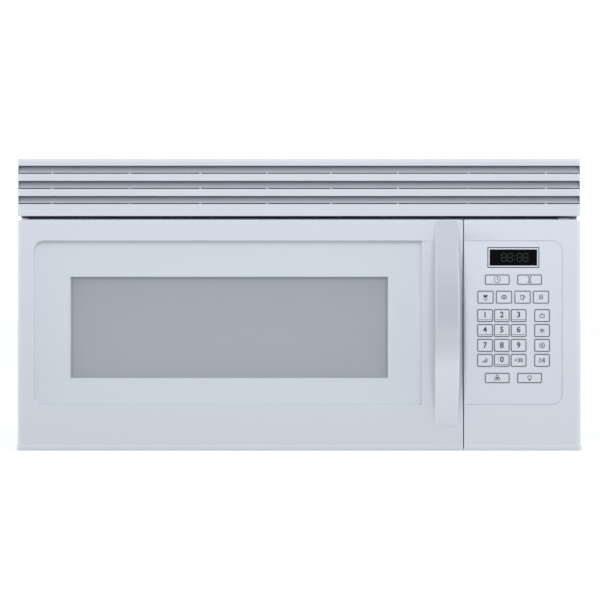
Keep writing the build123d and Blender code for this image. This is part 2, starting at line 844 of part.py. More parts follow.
with BuildPart() as door_handle:
    # Side view: a bow that stands off the door between two feet.
    with BuildSketch(side_plane(handle_x - handle_half)):
        with BuildLine():
            ThreePointArc((handle_end_y, handle_bottom), (handle_crown_y, handle_middle),
                          (handle_end_y, handle_top))
            Line((handle_end_y, handle_top), (face_y, handle_top))
            Line((face_y, handle_top), (face_y, handle_top - handle_foot))
            ThreePointArc((face_y, handle_top - handle_foot), (handle_grip_y, handle_middle),
                          (face_y, handle_bottom + handle_foot))
            Line((face_y, handle_bottom + handle_foot), (face_y, handle_bottom))
            Line((face_y, handle_bottom), (handle_end_y, handle_bottom))
        make_face()
    extrude(amount=handle_middle_width)
    # Front view: slightly wider in the middle, with round corners at the bottom.
    with BuildSketch(front_plane(face_y)) as front_view:
        with BuildLine():
            Line((handle_left_x, handle_top), (handle_right_x, handle_top))
            ThreePointArc((handle_right_x, handle_top), (handle_x + handle_half, handle_middle),
                          (handle_right_x, handle_bottom))
            Line((handle_right_x, handle_bottom), (handle_left_x, handle_bottom))
            ThreePointArc((handle_left_x, handle_bottom), (handle_x - handle_half, handle_middle),
                          (handle_left_x, handle_top))
        make_face()
        fillet(front_view.vertices().group_by(Axis.Y)[0], handle_corner)
    extrude(amount=handle_projection, mode=Mode.INTERSECT)
    crown = door_handle.faces().sort_by(Axis.Y)[0]
    chamfer(crown.edges(), handle_edge)
finish(door_handle, "door_handle")

with BuildPart() as latch_lever:
    # Upright bar with two hooks that reach through the front plate.
    block(latch_left_x, latch_right_x, latch_bar_front_y, latch_bar_back_y, latch_bottom, latch_top)
    with BuildSketch(side_plane(latch_left_x)):
        for level in hook_levels:
            with BuildLine():
                Polyline(
                    (latch_bar_back_y, level),
                    (hook_reach_y - hook_lip_length, level),
                    (hook_reach_y - hook_lip_length, level - hook_lip),
                    (hook_reach_y - hook_nose, level - hook_lip),
                    (hook_reach_y, level),
                    (hook_reach_y, level + hook_height - hook_nose),
                    (hook_reach_y - hook_nose, level + hook_height),
                    (latch_bar_back_y, level + hook_height),
                    close=True,
                )
            make_face()
    extrude(amount=latch_right_x - latch_left_x)
finish(latch_lever, "latch_lever")

bracket_left_x = latch_left_x - latch_slot_side - 2 * sheet
bracket_right_x = latch_right_x + latch_slot_side + 2 * sheet
bracket_back_y = hook_reach_y + bracket_depth

with BuildPart() as latch_bracket:
    block(bracket_left_x, bracket_right_x, case_front_y, bracket_back_y, latch_bottom - 2 * hook_lip,
          latch_top + 2 * hook_lip)
    with BuildSketch(front_plane(case_front_y)):
        hook_slots(latch_left_x - latch_slot_side, latch_right_x + latch_slot_side)
    extrude(amount=case_front_y - hook_reach_y - hook_nose, mode=Mode.SUBTRACT)
    # Interlock switches clipped to its right side.
    for level in (hook_levels[0], hook_levels[1], (hook_levels[0] + hook_levels[1]) / 2):
        block(bracket_right_x, bracket_right_x + switch_width, case_front_y + sheet,
              case_front_y + sheet + switch_depth, level - switch_height / 2, level + switch_height / 2)
finish(latch_bracket, "latch_bracket")

lower_pin_length = hinge_pocket_height + fascia_bottom - lower_hinge_z + hinge_pin_length

with BuildPart() as door_hinges:
    # Each hinge is a plate that stands out of the front plate, with a pin up or down into the door.
    for plate_z, pin_z, pin_length in (
        (lower_hinge_z, lower_hinge_z, lower_pin_length),
        (upper_hinge_z, upper_hinge_z + hinge_plate, -hinge_pin_length),
    ):
        with BuildSketch(Plane.XY.offset(plate_z)):
            with Locations((hinge_x, hinge_y)):
                Circle(hinge_arm_half_width)
            span_rectangle(hinge_x - hinge_arm_half_width, hinge_x + hinge_arm_half_width, hinge_y, chassis_y)
        extrude(amount=hinge_plate)
        with BuildSketch(Plane.XY.offset(pin_z)):
            with Locations((hinge_x, hinge_y)):
                Circle(hinge_pin_radius)
        extrude(amount=pin_length)
finish(door_hinges, "door_hinges")

# ---------------------------------------------------------------------------------------------------------
# Control panel
# ---------------------------------------------------------------------------------------------------------
key_layout = []
for row_number, row_z in enumerate(wide_row_z):
    for column_x in wide_key_x:
        key_layout.append((column_x, row_z, wide_key_width, wide_key_height))
for column_x in quick_key_x:
    key_layout.append((column_x, quick_row_z, quick_key_width, quick_key_height))
for row_z in number_row_z:
    for column_x in number_column_x + (side_column_x,):
        key_layout.append((column_x, row_z, number_key_width, number_key_height))

key_names = [
    "key_clock", "key_timer", "key_fan", "key_light",
    "key_popcorn", "key_potato", "key_beverage", "key_reheat",
    "key_1", "key_2", "key_3", "key_cook",
    "key_4", "key_5", "key_6", "key_defrost",
    "key_7", "key_8", "key_9", "key_clear",
    "key_power", "key_0", "key_add", "key_start",
]
keypad_floor_y = face_y + recess_depth + overlay_thickness


def panel_plan(grow=0.0):
    """Plan of the control panel: square at the seam, round at the outer front corner."""
    side = side_x + grow
    front = face_y - grow
    with BuildLine() as outline:
        Line((panel_left_x, moulding_back_y), (panel_left_x, front))
        Line((panel_left_x, front), (side - corner_radius, front))
        arc_about((side - corner_radius, front + corner_radius), (side - corner_radius, front),
                  (side, front + corner_radius))
        Line((side, front + corner_radius), (side, moulding_back_y))
        Line((side, moulding_back_y), (panel_left_x, moulding_back_y))
    make_face(outline.edges())


with BuildPart() as panel_hollow:
    with BuildSketch(Plane.XY.offset(fascia_bottom + plastic_wall)):
        panel_plan()
        offset(amount=-plastic_wall, mode=Mode.REPLACE)
        span_rectangle(panel_left_x + plastic_wall, side_x - plastic_wall, hinge_y, moulding_back_y + sheet)
    extrude(amount=fascia_height - 2 * plastic_wall)
    grip_relief(panel_left_x, 1, panel_bevels, plastic_wall, Mode.SUBTRACT)
    # Thicker wall behind the keypad, and posts for the circuit board.
    with BuildSketch(front_plane(face_y + plastic_wall)):
        span_rectangle(panel_left_x, recess_right_x, recess_bottom, recess_top)
    extrude(amount=face_y + plastic_wall - keypad_wall_back_y, mode=Mode.SUBTRACT)
    with BuildSketch(front_plane(board_y)):
        for post_x in (board_left_x + board_post_inset, board_right_x - board_post_inset):
            for post_z in (board_bottom + board_post_inset, board_top - board_post_inset):
                with Locations((post_x, post_z)):
                    Rectangle(board_post_width, board_post_width)
    extrude(amount=board_y - face_y, mode=Mode.SUBTRACT)

with BuildPart() as panel_lip:
    with BuildSketch(Plane.XY.offset(fascia_bottom)):
        panel_plan(lip_flare)
    extrude(amount=lip_height)
    chamfer(lip_edges(panel_lip), lip_round)

with BuildPart() as control_panel:
    with BuildSketch(Plane.XY.offset(fascia_bottom)):
        panel_plan()
    extrude(amount=fascia_height)
    top_edges = control_panel.faces().sort_by(Axis.Z)[-1].edges().filter_by_position(
        Axis.Y, face_y - sheet, hinge_y)
    fillet(top_edges, top_round)
    add(panel_lip.part)
    add(panel_hollow.part, mode=Mode.SUBTRACT)
    # Seat for the overlay, and the display's opening.
    with BuildSketch(front_plane(face_y)):
        span_rectangle(recess_left_x, recess_right_x, recess_bottom, recess_top, recess_corner)
    extrude(amount=-recess_depth - overlay_thickness, mode=Mode.SUBTRACT)
    with BuildSketch(front_plane(keypad_floor_y)):
        span_rectangle(display_left_x, display_right_x, display_bottom, display_top)
    extrude(amount=-2 * plastic_wall, mode=Mode.SUBTRACT)
    grip_relief(panel_left_x, 1, panel_bevels, 0.0, Mode.SUBTRACT)
    # Tab on the top edge that hooks under the grille.
    block(panel_tab_x - panel_tab_width / 2, panel_tab_x + panel_tab_width / 2, panel_tab_front_y,
          moulding_back_y, fascia_top - plastic_wall, panel_tab_top)
finish(control_panel, "control_panel")

with BuildPart() as keypad_overlay:
    with BuildSketch(front_plane(face_y + recess_depth)):
        span_rectangle(recess_left_x, recess_right_x - overlay_clearance, recess_bottom + overlay_clearance,
                       recess_top - overlay_clearance, recess_corner - overlay_clearance)
        span_rectangle(recess_left_x - sheet, panel_left_x, recess_bottom, recess_top, 0.0, Mode.SUBTRACT)
        span_rectangle(display_left_x, display_right_x, display_bottom, display_top, 0.0, Mode.SUBTRACT)
    extrude(amount=-overlay_thickness)
    # Holes for the keys, with clipped corners as the keys have.
    with BuildSketch(front_plane(face_y + recess_depth)) as key_holes:
        for key_x, key_z, width, height in key_layout:
            with Locations((key_x, key_z)):
                Rectangle(width + 2 * key_clearance, height + 2 * key_clearance)
        chamfer(key_holes.vertices(), key_corner)
    extrude(amount=-overlay_thickness, mode=Mode.SUBTRACT)
    grip_relief(panel_left_x, 1, panel_bevels, overlay_clearance, Mode.SUBTRACT)
finish(keypad_overlay, "keypad_overlay")

key_front_y = face_y + recess_depth - key_proud
for name, (key_x, key_z, width, height) in zip(key_names, key_layout):
    with BuildPart() as key:
        with BuildSketch(front_plane(key_front_y)) as key_face:
            with Locations((key_x, key_z)):
                Rectangle(width, height)
            chamfer(key_face.vertices(), key_corner)
        extrude(amount=-key_thickness)
    finish(key, name)

display_front_y = face_y + recess_depth + 0.2

with BuildPart() as display_window:
    with BuildSketch(front_plane(display_front_y)):
        span_rectangle(display_left_x, display_right_x, display_bottom, display_top)
    extrude(amount=display_front_y - keypad_wall_back_y)
    with BuildSketch(front_plane(keypad_wall_back_y)):
        span_rectangle(display_left_x - display_flange, display_right_x + display_flange,
                       display_bottom - display_flange, display_top + display_flange)
    extrude(amount=-display_flange)
finish(display_window, "display_window")

with BuildPart() as control_board:
    block(board_left_x, board_right_x, board_y, board_y + board_thickness, board_bottom, board_top)
    # Display module towards the window, relays and connectors towards the chassis.
    block(display_left_x, display_right_x, keypad_wall_back_y + display_flange, board_y, display_bottom,
          display_top)
    for relay_z in relay_levels:
        block(board_right_x - relay_inset - relay_size, board_right_x - relay_inset,
              board_y + board_thickness, board_y + relay_depth, relay_z, relay_z + relay_height)
    block(board_left_x + relay_inset, board_left_x + relay_inset + connector_width,
          board_y + board_thickness, board_y + connector_depth, connector_bottom,
          connector_bottom + connector_height)
finish(control_board, "control_board")

# ---------------------------------------------------------------------------------------------------------
# Vent grille
# ---------------------------------------------------------------------------------------------------------
grille_inner_x = side_x - grille_end_wall

with BuildPart() as vent_grille:
    with BuildSketch(side_plane(-side_x)):
        span_rectangle(face_y, grille_back_y, grille_bottom, overall_height)
        span_rectangle(face_y + grille_wall, grille_back_y, grille_bottom + grille_wall,
                       overall_height - grille_wall, 0.0, Mode.SUBTRACT)
    extrude(amount=2 * side_x)
    outer_edges = vent_grille.edges().filter_by(Axis.X).filter_by_position(
        Axis.Y, face_y - sheet, face_y + sheet)
    fillet(outer_edges, slat_edge)
    # End walls.
    for wall_x in (-side_x, grille_inner_x):
        block(wall_x, wall_x + grille_end_wall, face_y + grille_wall / 2, grille_back_y,
              grille_bottom + sheet, overall_height - sheet)
    # Air slots, each with a fin that leans forward from the slat above and stops short of the slat below.
    for slot in range(slot_count):
        slot_top = slot_first_top - slot * slot_pitch
        slot_bottom = slot_top - slot_height
        fin_tip = slot_bottom + air_gap
        block(-grille_inner_x, grille_inner_x, face_y - sheet, face_y + grille_wall + sheet, slot_bottom,
              slot_top, Mode.SUBTRACT)
        with BuildSketch(side_plane(-grille_inner_x)):
            with BuildLine():
                Polyline(
                    (face_y + grille_wall / 2, slot_top),
                    (face_y + fin_depth, slot_top),
                    (face_y + lip_flare / 2, fin_tip),
                    (face_y + lip_flare / 2 + fin_thickness, fin_tip),
                    (face_y + fin_depth + fin_thickness, slot_top - fin_thickness / 2),
                    (face_y + fin_depth + fin_thickness, slot_top + fin_thickness),
                    (face_y + grille_wall / 2, slot_top + fin_thickness),
                    close=True,
                )
            make_face()
        extrude(amount=2 * grille_inner_x)
        for rib_x in grille_rib_x:
            for side in (-1, 1):
                block(side * rib_x - grille_rib_width / 2, side * rib_x + grille_rib_width / 2,
                      face_y + grille_wall - lip_flare, face_y + grille_rib_back, slot_bottom - 2 * sheet,
                      fin_tip + sheet)
finish(vent_grille, "vent_grille")

with BuildPart() as charcoal_filter:
    charcoal_back_y = charcoal_front_y + charcoal_thickness
    with BuildSketch(front_plane(charcoal_front_y)):
        span_rectangle(-charcoal_half_width, charcoal_half_width, charcoal_bottom, charcoal_top)
    extrude(amount=-charcoal_thickness)
    for recess_y, direction in ((charcoal_front_y, -1), (charcoal_back_y, 1)):
        with BuildSketch(front_plane(recess_y)):
            span_rectangle(-charcoal_half_width + charcoal_frame, charcoal_half_width - charcoal_frame,
                           charcoal_bottom + charcoal_frame, charcoal_top - charcoal_frame)
        extrude(amount=direction * charcoal_recess, mode=Mode.SUBTRACT)
finish(charcoal_filter, "charcoal_filter")

# ---------------------------------------------------------------------------------------------------------
# Filters and lamp lenses under the base
# ---------------------------------------------------------------------------------------------------------
filter_bottom = sheet + seat_gap

with BuildPart() as grease_filters:
    for centre_x in (-filter_x, filter_x):
        with BuildSketch(Plane.XY.offset(filter_bottom)):
            with Locations((centre_x, filter_y)):
                Rectangle(filter_width, filter_depth)
        extrude(amount=filter_thickness)
        for level, direction in ((filter_bottom, 1), (filter_bottom + filter_thickness, -1)):
            with BuildSketch(Plane.XY.offset(level)):
                with Locations((centre_x, filter_y)):
                    Rectangle(filter_width - 2 * filter_frame, filter_depth - 2 * filter_frame)
            extrude(amount=direction * filter_mesh_inset, mode=Mode.SUBTRACT)
finish(grease_filters, "grease_filters")

with BuildPart() as lamp_lenses:
    for centre_x in (-lens_x, lens_x):
        with BuildSketch(Plane.XY.offset(filter_bottom)):
            with Locations((centre_x, lens_y)):
                Rectangle(lens_width, lens_depth)
        extrude(amount=lens_flange)
        with BuildSketch(Plane.XY.offset(seat_gap)):
            with Locations((centre_x, lens_y)):
                Rectangle(lens_width - 2 * lens_ledge - sheet, lens_depth - 2 * lens_ledge - sheet)
        extrude(amount=lens_flange)
finish(lamp_lenses, "lamp_lenses")

with BuildPart() as cord_gland:
    # Bushing through the top of the case, with a hexagonal body below.
    with BuildSketch(Plane.XY.offset(overall_height)):
        with Locations((gland_x, gland_y)):
            Circle(gland_neck)
    extrude(amount=-sheet - seat_gap)
    with BuildSketch(Plane.XY.offset(overall_height - sheet - seat_gap)):
        with Locations((gland_x, gland_y)):
            RegularPolygon(gland_nut_across / 2, 6)
    extrude(amount=sheet + seat_gap - gland_length)
    with BuildSketch(Plane.XY.offset(overall_height)):
        with Locations((gland_x, gland_y)):
            Circle(gland_bore)
    extrude(amount=-gland_length, mode=Mode.SUBTRACT)
finish(cord_gland, "cord_gland")

# ---------------------------------------------------------------------------------------------------------
# Ventilation blower
# ---------------------------------------------------------------------------------------------------------
duct_front_y = blower_y - scroll_radius
duct_back_y = blower_y + scroll_outlet_half

with BuildPart() as vent_blower:
    # Two scrolls that open upwards into one duct, with the motor between them.
    for side in (-1, 1):
        low_x = min(side * scroll_inner_x, side * scroll_outer_x)
        high_x = max(side * scroll_inner_x, side * scroll_outer_x)
        with BuildSketch(side_plane(low_x)):
            with Locations((blower_y, blower_z)):
                Circle(scroll_radius)
            span_rectangle(duct_front_y, duct_back_y, blower_z, scroll_outlet_z)
        extrude(amount=high_x - low_x)
        with BuildSketch(side_plane(low_x + scroll_wall)):
            with Locations((blower_y, blower_z)):
                Circle(scroll_radius - scroll_wall)
            span_rectangle(duct_front_y + scroll_wall, duct_back_y - scroll_wall, blower_z, scroll_outlet_z)
        extrude(amount=high_x - low_x - 2 * scroll_wall, mode=Mode.SUBTRACT)
        # Air inlet in the outer side, and a hole for the shaft in the inner side.
        with BuildSketch(side_plane(side * scroll_outer_x)):
            with Locations((blower_y, blower_z)):
                Circle(scroll_inlet_radius)
        extrude(amount=-side * scroll_wall, mode=Mode.SUBTRACT)
        with BuildSketch(side_plane(side * scroll_inner_x)):
            with Locations((blower_y, blower_z)):
                RegularPolygon(wheel_hub_radius, wheel_sides)
        extrude(amount=side * scroll_wall, mode=Mode.SUBTRACT)
    # Duct to the exhaust outlet, with a floor round the mouths of the scrolls.
    duct_half = exhaust_width / 2 + scroll_wall
    with BuildSketch(Plane.XY.offset(scroll_outlet_z)):
        span_rectangle(-duct_half, duct_half, duct_front_y, duct_back_y)
        span_rectangle(-duct_half + scroll_wall, duct_half - scroll_wall, duct_front_y + scroll_wall,
                       duct_back_y - scroll_wall, 0.0, Mode.SUBTRACT)
    extrude(amount=duct_height)
    with BuildSketch(Plane.XY.offset(scroll_outlet_z)):
        span_rectangle(-duct_half, duct_half, duct_front_y, duct_back_y)
        for mouth_x in (-scroll_outer_x, scroll_inner_x):
            span_rectangle(mouth_x + scroll_wall, mouth_x + scroll_outer_x - scroll_inner_x - scroll_wall,
                           duct_front_y + scroll_wall, duct_back_y - scroll_wall, 0.0, Mode.SUBTRACT)
    extrude(amount=-scroll_wall)
    # Motor on its shaft line.
    with BuildSketch(side_plane(-blower_motor_half)):
        with Locations((blower_y, blower_z)):
            RegularPolygon(blower_motor_radius, wheel_sides)
    extrude(amount=2 * blower_motor_half)
    with BuildSketch(side_plane(-blower_motor_half)):
        with Locations((blower_y, blower_z)):
            Circle(blower_shaft_radius + hinge_pin_clearance)
    extrude(amount=2 * blower_motor_half, mode=Mode.SUBTRACT)
finish(vent_blower, "vent_blower")

with BuildPart() as blower_wheels:
    with BuildSketch(side_plane(-wheel_outer_x)):
        with Locations((blower_y, blower_z)):
            Circle(blower_shaft_radius)
    extrude(amount=2 * wheel_outer_x)
    for side in (-1, 1):
        inner_x = side * wheel_inner_x
        outer_x = side * wheel_outer_x
        with BuildSketch(side_plane(inner_x)):
            with Locations((blower_y, blower_z)):
                RegularPolygon(wheel_radius, wheel_sides)
        extrude(amount=side * wheel_disc)
        with BuildSketch(side_plane(inner_x)):
            with Locations((blower_y, blower_z)):
                Circle(wheel_hub_radius)
        extrude(amount=side * wheel_hub_radius)
        with BuildSketch(side_plane(inner_x)):
            with Locations((blower_y, blower_z)):
                with PolarLocations(wheel_radius - wheel_blade_depth / 2 - sheet, wheel_blade_count):
                    Rectangle(wheel_blade_depth, wheel_blade_thickness, rotation=35)
        extrude(amount=outer_x - inner_x - side * wheel_ring_width)
        with BuildSketch(side_plane(outer_x)):
            with Locations((blower_y, blower_z)):
                RegularPolygon(wheel_radius, wheel_sides)
                RegularPolygon(wheel_radius - wheel_blade_depth, wheel_sides, mode=Mode.SUBTRACT)
        extrude(amount=-side * wheel_ring_width)
finish(blower_wheels, "blower_wheels")

# ---------------------------------------------------------------------------------------------------------
# Power parts and their cooling fan
# ---------------------------------------------------------------------------------------------------------
magnetron_left_x = waveguide_x + seat_gap
magnetron_right_x = magnetron_left_x + magnetron_flange + magnetron_width

with BuildPart() as magnetron:
    # Mounting flange, steel yoke open at two sides, round core with cooling fins, antenna dome.
    block(magnetron_left_x, magnetron_left_x + magnetron_flange, magnetron_y - magnetron_depth / 2,
          magnetron_y + magnetron_depth / 2, magnetron_z - magnetron_height / 2,
          magnetron_z + magnetron_height / 2)
    with BuildSketch(front_plane(magnetron_y - magnetron_depth / 2)):
        span_rectangle(magnetron_left_x + magnetron_flange, magnetron_right_x,
                       magnetron_z - magnetron_height / 2, magnetron_z + magnetron_height / 2)
        span_rectangle(magnetron_left_x + magnetron_flange, magnetron_right_x - magnetron_yoke,
                       magnetron_z - magnetron_height / 2 + magnetron_yoke,
                       magnetron_z + magnetron_height / 2 - magnetron_yoke, 0.0, Mode.SUBTRACT)
    extrude(amount=-magnetron_depth)
    with BuildSketch(side_plane(magnetron_left_x)):
        with Locations((magnetron_y, magnetron_z)):
            RegularPolygon(magnetron_core_radius, magnetron_core_sides)
    extrude(amount=magnetron_right_x - magnetron_left_x)
    fin_pitch = (magnetron_width - magnetron_yoke) / (magnetron_fin_count + 1)
    for fin in range(magnetron_fin_count):
        fin_x = magnetron_left_x + magnetron_flange + (fin + 1) * fin_pitch
        block(fin_x, fin_x + magnetron_fin, magnetron_y - magnetron_depth / 2 + magnetron_yoke,
              magnetron_y + magnetron_depth / 2 - magnetron_yoke, magnetron_z - magnetron_height / 2 + sheet,
              magnetron_z + magnetron_height / 2 - sheet)
    with BuildSketch(side_plane(magnetron_left_x)):
        with Locations((magnetron_y, magnetron_z)):
            Circle(antenna_radius)
    extrude(amount=-antenna_length)
finish(magnetron, "magnetron")

with BuildPart() as high_voltage_supply:
    floor_z = sheet + seat_gap
    # Transformer: laminated core with the winding standing out at both ends.
    block(transformer_x - transformer_width / 2, transformer_x + transformer_width / 2,
          transformer_y - transformer_coil_depth / 2, transformer_y + transformer_coil_depth / 2, floor_z,
          floor_z + transformer_height)
    with BuildSketch(Plane.XY.offset(floor_z + transformer_height / 4)):
        with Locations((transformer_x, transformer_y)):
            Rectangle(transformer_coil_width, transformer_depth)
    extrude(amount=transformer_height / 2)
    # Capacitor: an oval can on its side with two flat terminals.
    with BuildSketch(front_plane(capacitor_y - capacitor_length / 2)):
        with Locations((capacitor_x, floor_z + capacitor_height / 2)):
            SlotOverall(capacitor_width, capacitor_height)
    extrude(amount=-capacitor_length)
    for terminal in (-1, 1):
        block(capacitor_x + terminal * terminal_length - terminal_size / 2,
              capacitor_x + terminal * terminal_length + terminal_size / 2,
              capacitor_y - capacitor_length / 2 - terminal_length, capacitor_y - capacitor_length / 2,
              floor_z + capacitor_height / 2, floor_z + capacitor_height / 2 + sheet)
finish(high_voltage_supply, "high_voltage_supply")

with BuildPart() as fan_bracket:
    # Upright partition with a round mouth, and two arms that carry the motor behind the rotor.
    plate_right_x = base_half_x - sheet - seat_gap
    with BuildSketch(front_plane(fan_plate_y)):
        span_rectangle(fan_plate_left_x, plate_right_x, sheet + seat_gap, fan_plate_top)
        with Locations((fan_x, fan_z)):
            Circle(fan_hole_radius, mode=Mode.SUBTRACT)
    extrude(amount=-sheet)
    arm_reach = fan_hole_radius + fan_arm_width
    for side in (-1, 1):
        block(fan_x + side * arm_reach - fan_arm_width / 2, fan_x + side * arm_reach + fan_arm_width / 2,
              fan_plate_y, fan_motor_front_y + sheet, fan_z - fan_arm_width / 2, fan_z + fan_arm_width / 2)
    block(fan_x - arm_reach, fan_x + arm_reach, fan_motor_front_y, fan_motor_front_y + 2 * sheet,
          fan_z - fan_arm_width / 2, fan_z + fan_arm_width / 2)
    with BuildSketch(front_plane(fan_motor_front_y)):
        with Locations((fan_x, fan_z)):
            RegularPolygon(fan_motor_width / 2, 8, major_radius=False)
    extrude(amount=-fan_motor_length)
    with BuildSketch(front_plane(fan_motor_front_y)):
        with Locations((fan_x, fan_z)):
            Circle(fan_shaft_radius + hinge_pin_clearance)
    extrude(amount=-fan_motor_length / 2 - sheet, mode=Mode.SUBTRACT)
finish(fan_bracket, "fan_bracket")

with BuildPart() as cooling_fan:
    with BuildSketch(front_plane(fan_rotor_y - fan_hub_length / 2)):
        with Locations((fan_x, fan_z)):
            Circle(fan_hub_radius)
    extrude(amount=-fan_hub_length)
    with BuildSketch(front_plane(fan_rotor_y)):
        with Locations((fan_x, fan_z)):
            Circle(fan_shaft_radius)
    extrude(amount=fan_rotor_y - fan_motor_front_y - fan_motor_length / 2)
    blade_length = fan_radius - fan_hub_radius + 2 * sheet
    with Locations(Plane(origin=(fan_x, fan_rotor_y, fan_z), x_dir=(1, 0, 0), z_dir=(0, -1, 0))):
        with PolarLocations(fan_hub_radius - 2 * sheet, fan_blade_count):
            Box(blade_length, fan_blade_width, fan_blade_thickness, rotation=(fan_blade_pitch, 0, 0),
                align=(Align.MIN, Align.CENTER, Align.CENTER))
finish(cooling_fan, "cooling_fan")
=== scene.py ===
"""Over-the-range microwave oven: the looks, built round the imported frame.

Metres, +Z up, the user stands on the -Y side.  The script is laid out as an add-on: property groups hold the
sizes and colours, operators make the pieces, one panel lists them.  It is run as a script.
"""

import json
import math

import bmesh
import bpy
from mathutils import Matrix, Vector

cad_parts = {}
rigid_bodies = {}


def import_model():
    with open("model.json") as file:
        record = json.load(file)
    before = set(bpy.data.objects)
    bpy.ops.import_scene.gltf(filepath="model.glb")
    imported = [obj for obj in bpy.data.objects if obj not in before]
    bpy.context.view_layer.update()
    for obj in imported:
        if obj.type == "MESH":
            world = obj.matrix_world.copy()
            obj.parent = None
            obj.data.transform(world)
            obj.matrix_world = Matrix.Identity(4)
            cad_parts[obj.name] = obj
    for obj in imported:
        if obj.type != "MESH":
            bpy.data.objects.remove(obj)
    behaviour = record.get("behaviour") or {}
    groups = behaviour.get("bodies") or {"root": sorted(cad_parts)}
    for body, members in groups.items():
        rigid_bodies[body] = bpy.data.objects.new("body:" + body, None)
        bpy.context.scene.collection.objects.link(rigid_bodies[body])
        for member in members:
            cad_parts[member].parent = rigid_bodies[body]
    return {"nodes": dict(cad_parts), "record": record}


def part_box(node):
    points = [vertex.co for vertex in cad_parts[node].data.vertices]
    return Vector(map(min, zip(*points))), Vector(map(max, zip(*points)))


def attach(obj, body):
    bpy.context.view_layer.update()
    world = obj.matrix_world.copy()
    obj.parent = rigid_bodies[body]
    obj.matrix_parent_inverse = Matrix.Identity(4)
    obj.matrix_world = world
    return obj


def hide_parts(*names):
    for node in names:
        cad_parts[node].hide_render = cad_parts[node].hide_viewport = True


bl_info = {
    "name": "Over-the-range microwave oven",
    "version": (1, 0, 0),
    "blender": (4, 5, 0),
    "location": "View3D > Sidebar > Microwave",
    "description": "Builds the looks of an over-the-range microwave oven round its packed frame",
    "category": "Add Mesh",
}

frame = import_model()
nodes = frame["nodes"]
slots = {part["node"]: part["material_slot"] for part in frame["record"]["subparts"]}
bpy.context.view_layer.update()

MM = 0.001

# ---- Places that follow the construction, in metres ----
FACE_Y = -0.1775
CASE_SIDE_X = 0.3783
BACK_PANEL_Y = 0.2065
RECESS_LOW = 0.050
RECESS_HIGH = 0.290
LIP_TOP = 0.0075
LIP_BACK_Y = -0.150
LIP_MIDDLE = 0.003
SLOTS_LOW = 0.3296
SLOTS_HIGH = 0.3829
TURN_DEPTH = 0.0155
SEAM_X = 0.2198
SEAM_SHIFT = 0.00065
SEAM_REACH = 0.012
RELIEF_LEFT = 0.195
RELIEF_RIGHT = 0.234
RELIEF_LOW = 0.040
RELIEF_HIGH = 0.292
SCREEN_LEFT = -0.3072
SCREEN_RIGHT = 0.1192
SCREEN_LOW = 0.0972
SCREEN_HIGH = 0.2327
SCREEN_Y = -0.1600
CAVITY_MIDDLE_X = -0.090
CAVITY_HALF_WIDTH = 0.2495
CAVITY_HOLES_FRONT = (-0.098, -0.042)
CAVITY_HOLES_REAR = (0.105, 0.161)
CAVITY_HOLES_UP = (0.189, 0.231)
CORE_MIDDLE_Y = 0.103
CORE_HALF = 0.0352
CAPACITOR_RIGHT = 0.245
BOARD_Y = -0.1572
BOARD_HALF = 0.00085


# ---- Shader maths ----
class Signal:
    """A socket of a node tree; arithmetic on it adds the Math nodes that work it out."""

    def __init__(self, tree, socket):
        self.tree = tree
        self.socket = socket

    def node(self, kind, settings=None, values=None, output=0):
        """Add a node: its settings first, then the values or links of its sockets."""
        made = self.tree.nodes.new(kind)
        for name, value in (settings or {}).items():
            if name == "stops":
                elements = made.color_ramp.elements
                while len(elements) < len(value):
                    elements.new(1.0)
                for element, (position, colour) in zip(elements, value):
                    element.position = position
                    element.color = colour
            else:
                setattr(made, name, value)
        for name, value in (values or {}).items():
            socket = made.inputs[name]
            if isinstance(value, Signal):
                self.tree.links.new(value.socket, socket)
            else:
                socket.default_value = value
        return Signal(self.tree, made.outputs[output])

    def maths(self, operation, *values):
        return self.node("ShaderNodeMath", {"operation": operation}, dict(enumerate(values)))

    def __add__(self, other):
        return self.maths("ADD", self, other)

    __radd__ = __add__

    def __sub__(self, other):
        return self.maths("SUBTRACT", self, other)

    def __rsub__(self, other):
        return self.maths("SUBTRACT", other, self)

    def __mul__(self, other):
        return self.maths("MULTIPLY", self, other)

    __rmul__ = __mul__

    def __gt__(self, other):
        return self.maths("GREATER_THAN", self, other)

    def __lt__(self, other):
        return self.maths("LESS_THAN", self, other)

    def size(self):
        return self.maths("ABSOLUTE", self)

    def stripe(self, pitch):
        """Ramp from 0 to 1 in each pitch."""
        return self.maths("FRACT", self * (1 / pitch))

    def wave(self, pitch):
        return self.maths("SINE", self * (2 * math.pi / pitch))

    def between(self, low, high):
        return (self > low) * (self < high)

    def axis(self, index):
        return self.node("ShaderNodeSeparateXYZ", None, {0: self}, index)

    def scaled(self, x, y, z):
        """The pattern's place stretched along the axes."""
        return self.node("ShaderNodeVectorMath", {"operation": "MULTIPLY"}, {0: self, 1: (x, y, z)})

    def noise(self, scale, detail=2.0):
        return self.node("ShaderNodeTexNoise", None, {"Vector": self, "Scale": scale, "Detail": detail})

    def cells(self, scale, feature="F1", output="Distance"):
        return self.node("ShaderNodeTexVoronoi", {"feature": feature}, {"Vector": self, "Scale": scale},
                         output)

    def rise(self, low, high):
        """Smooth change from 0 at low to 1 at high."""
        return self.node("ShaderNodeMapRange", {"interpolation_type": "SMOOTHSTEP"},
                         {0: self, 1: low, 2: high, 3: 0.0, 4: 1.0})

    def blend(self, first, second):
        """Colour between two colours, by this signal."""
        first, second = (end if isinstance(end, Signal) else rgba(end) for end in (first, second))
        return self.node("ShaderNodeMix", {"data_type": "RGBA"}, {0: self, 6: first, 7: second}, 2)


# Painted shade that darkens the front towards the bottom: the height where it ends, and its tone at the
# bottom.
LOW_SHADE_TOP = 0.34
LOW_SHADE_TONE = 0.895


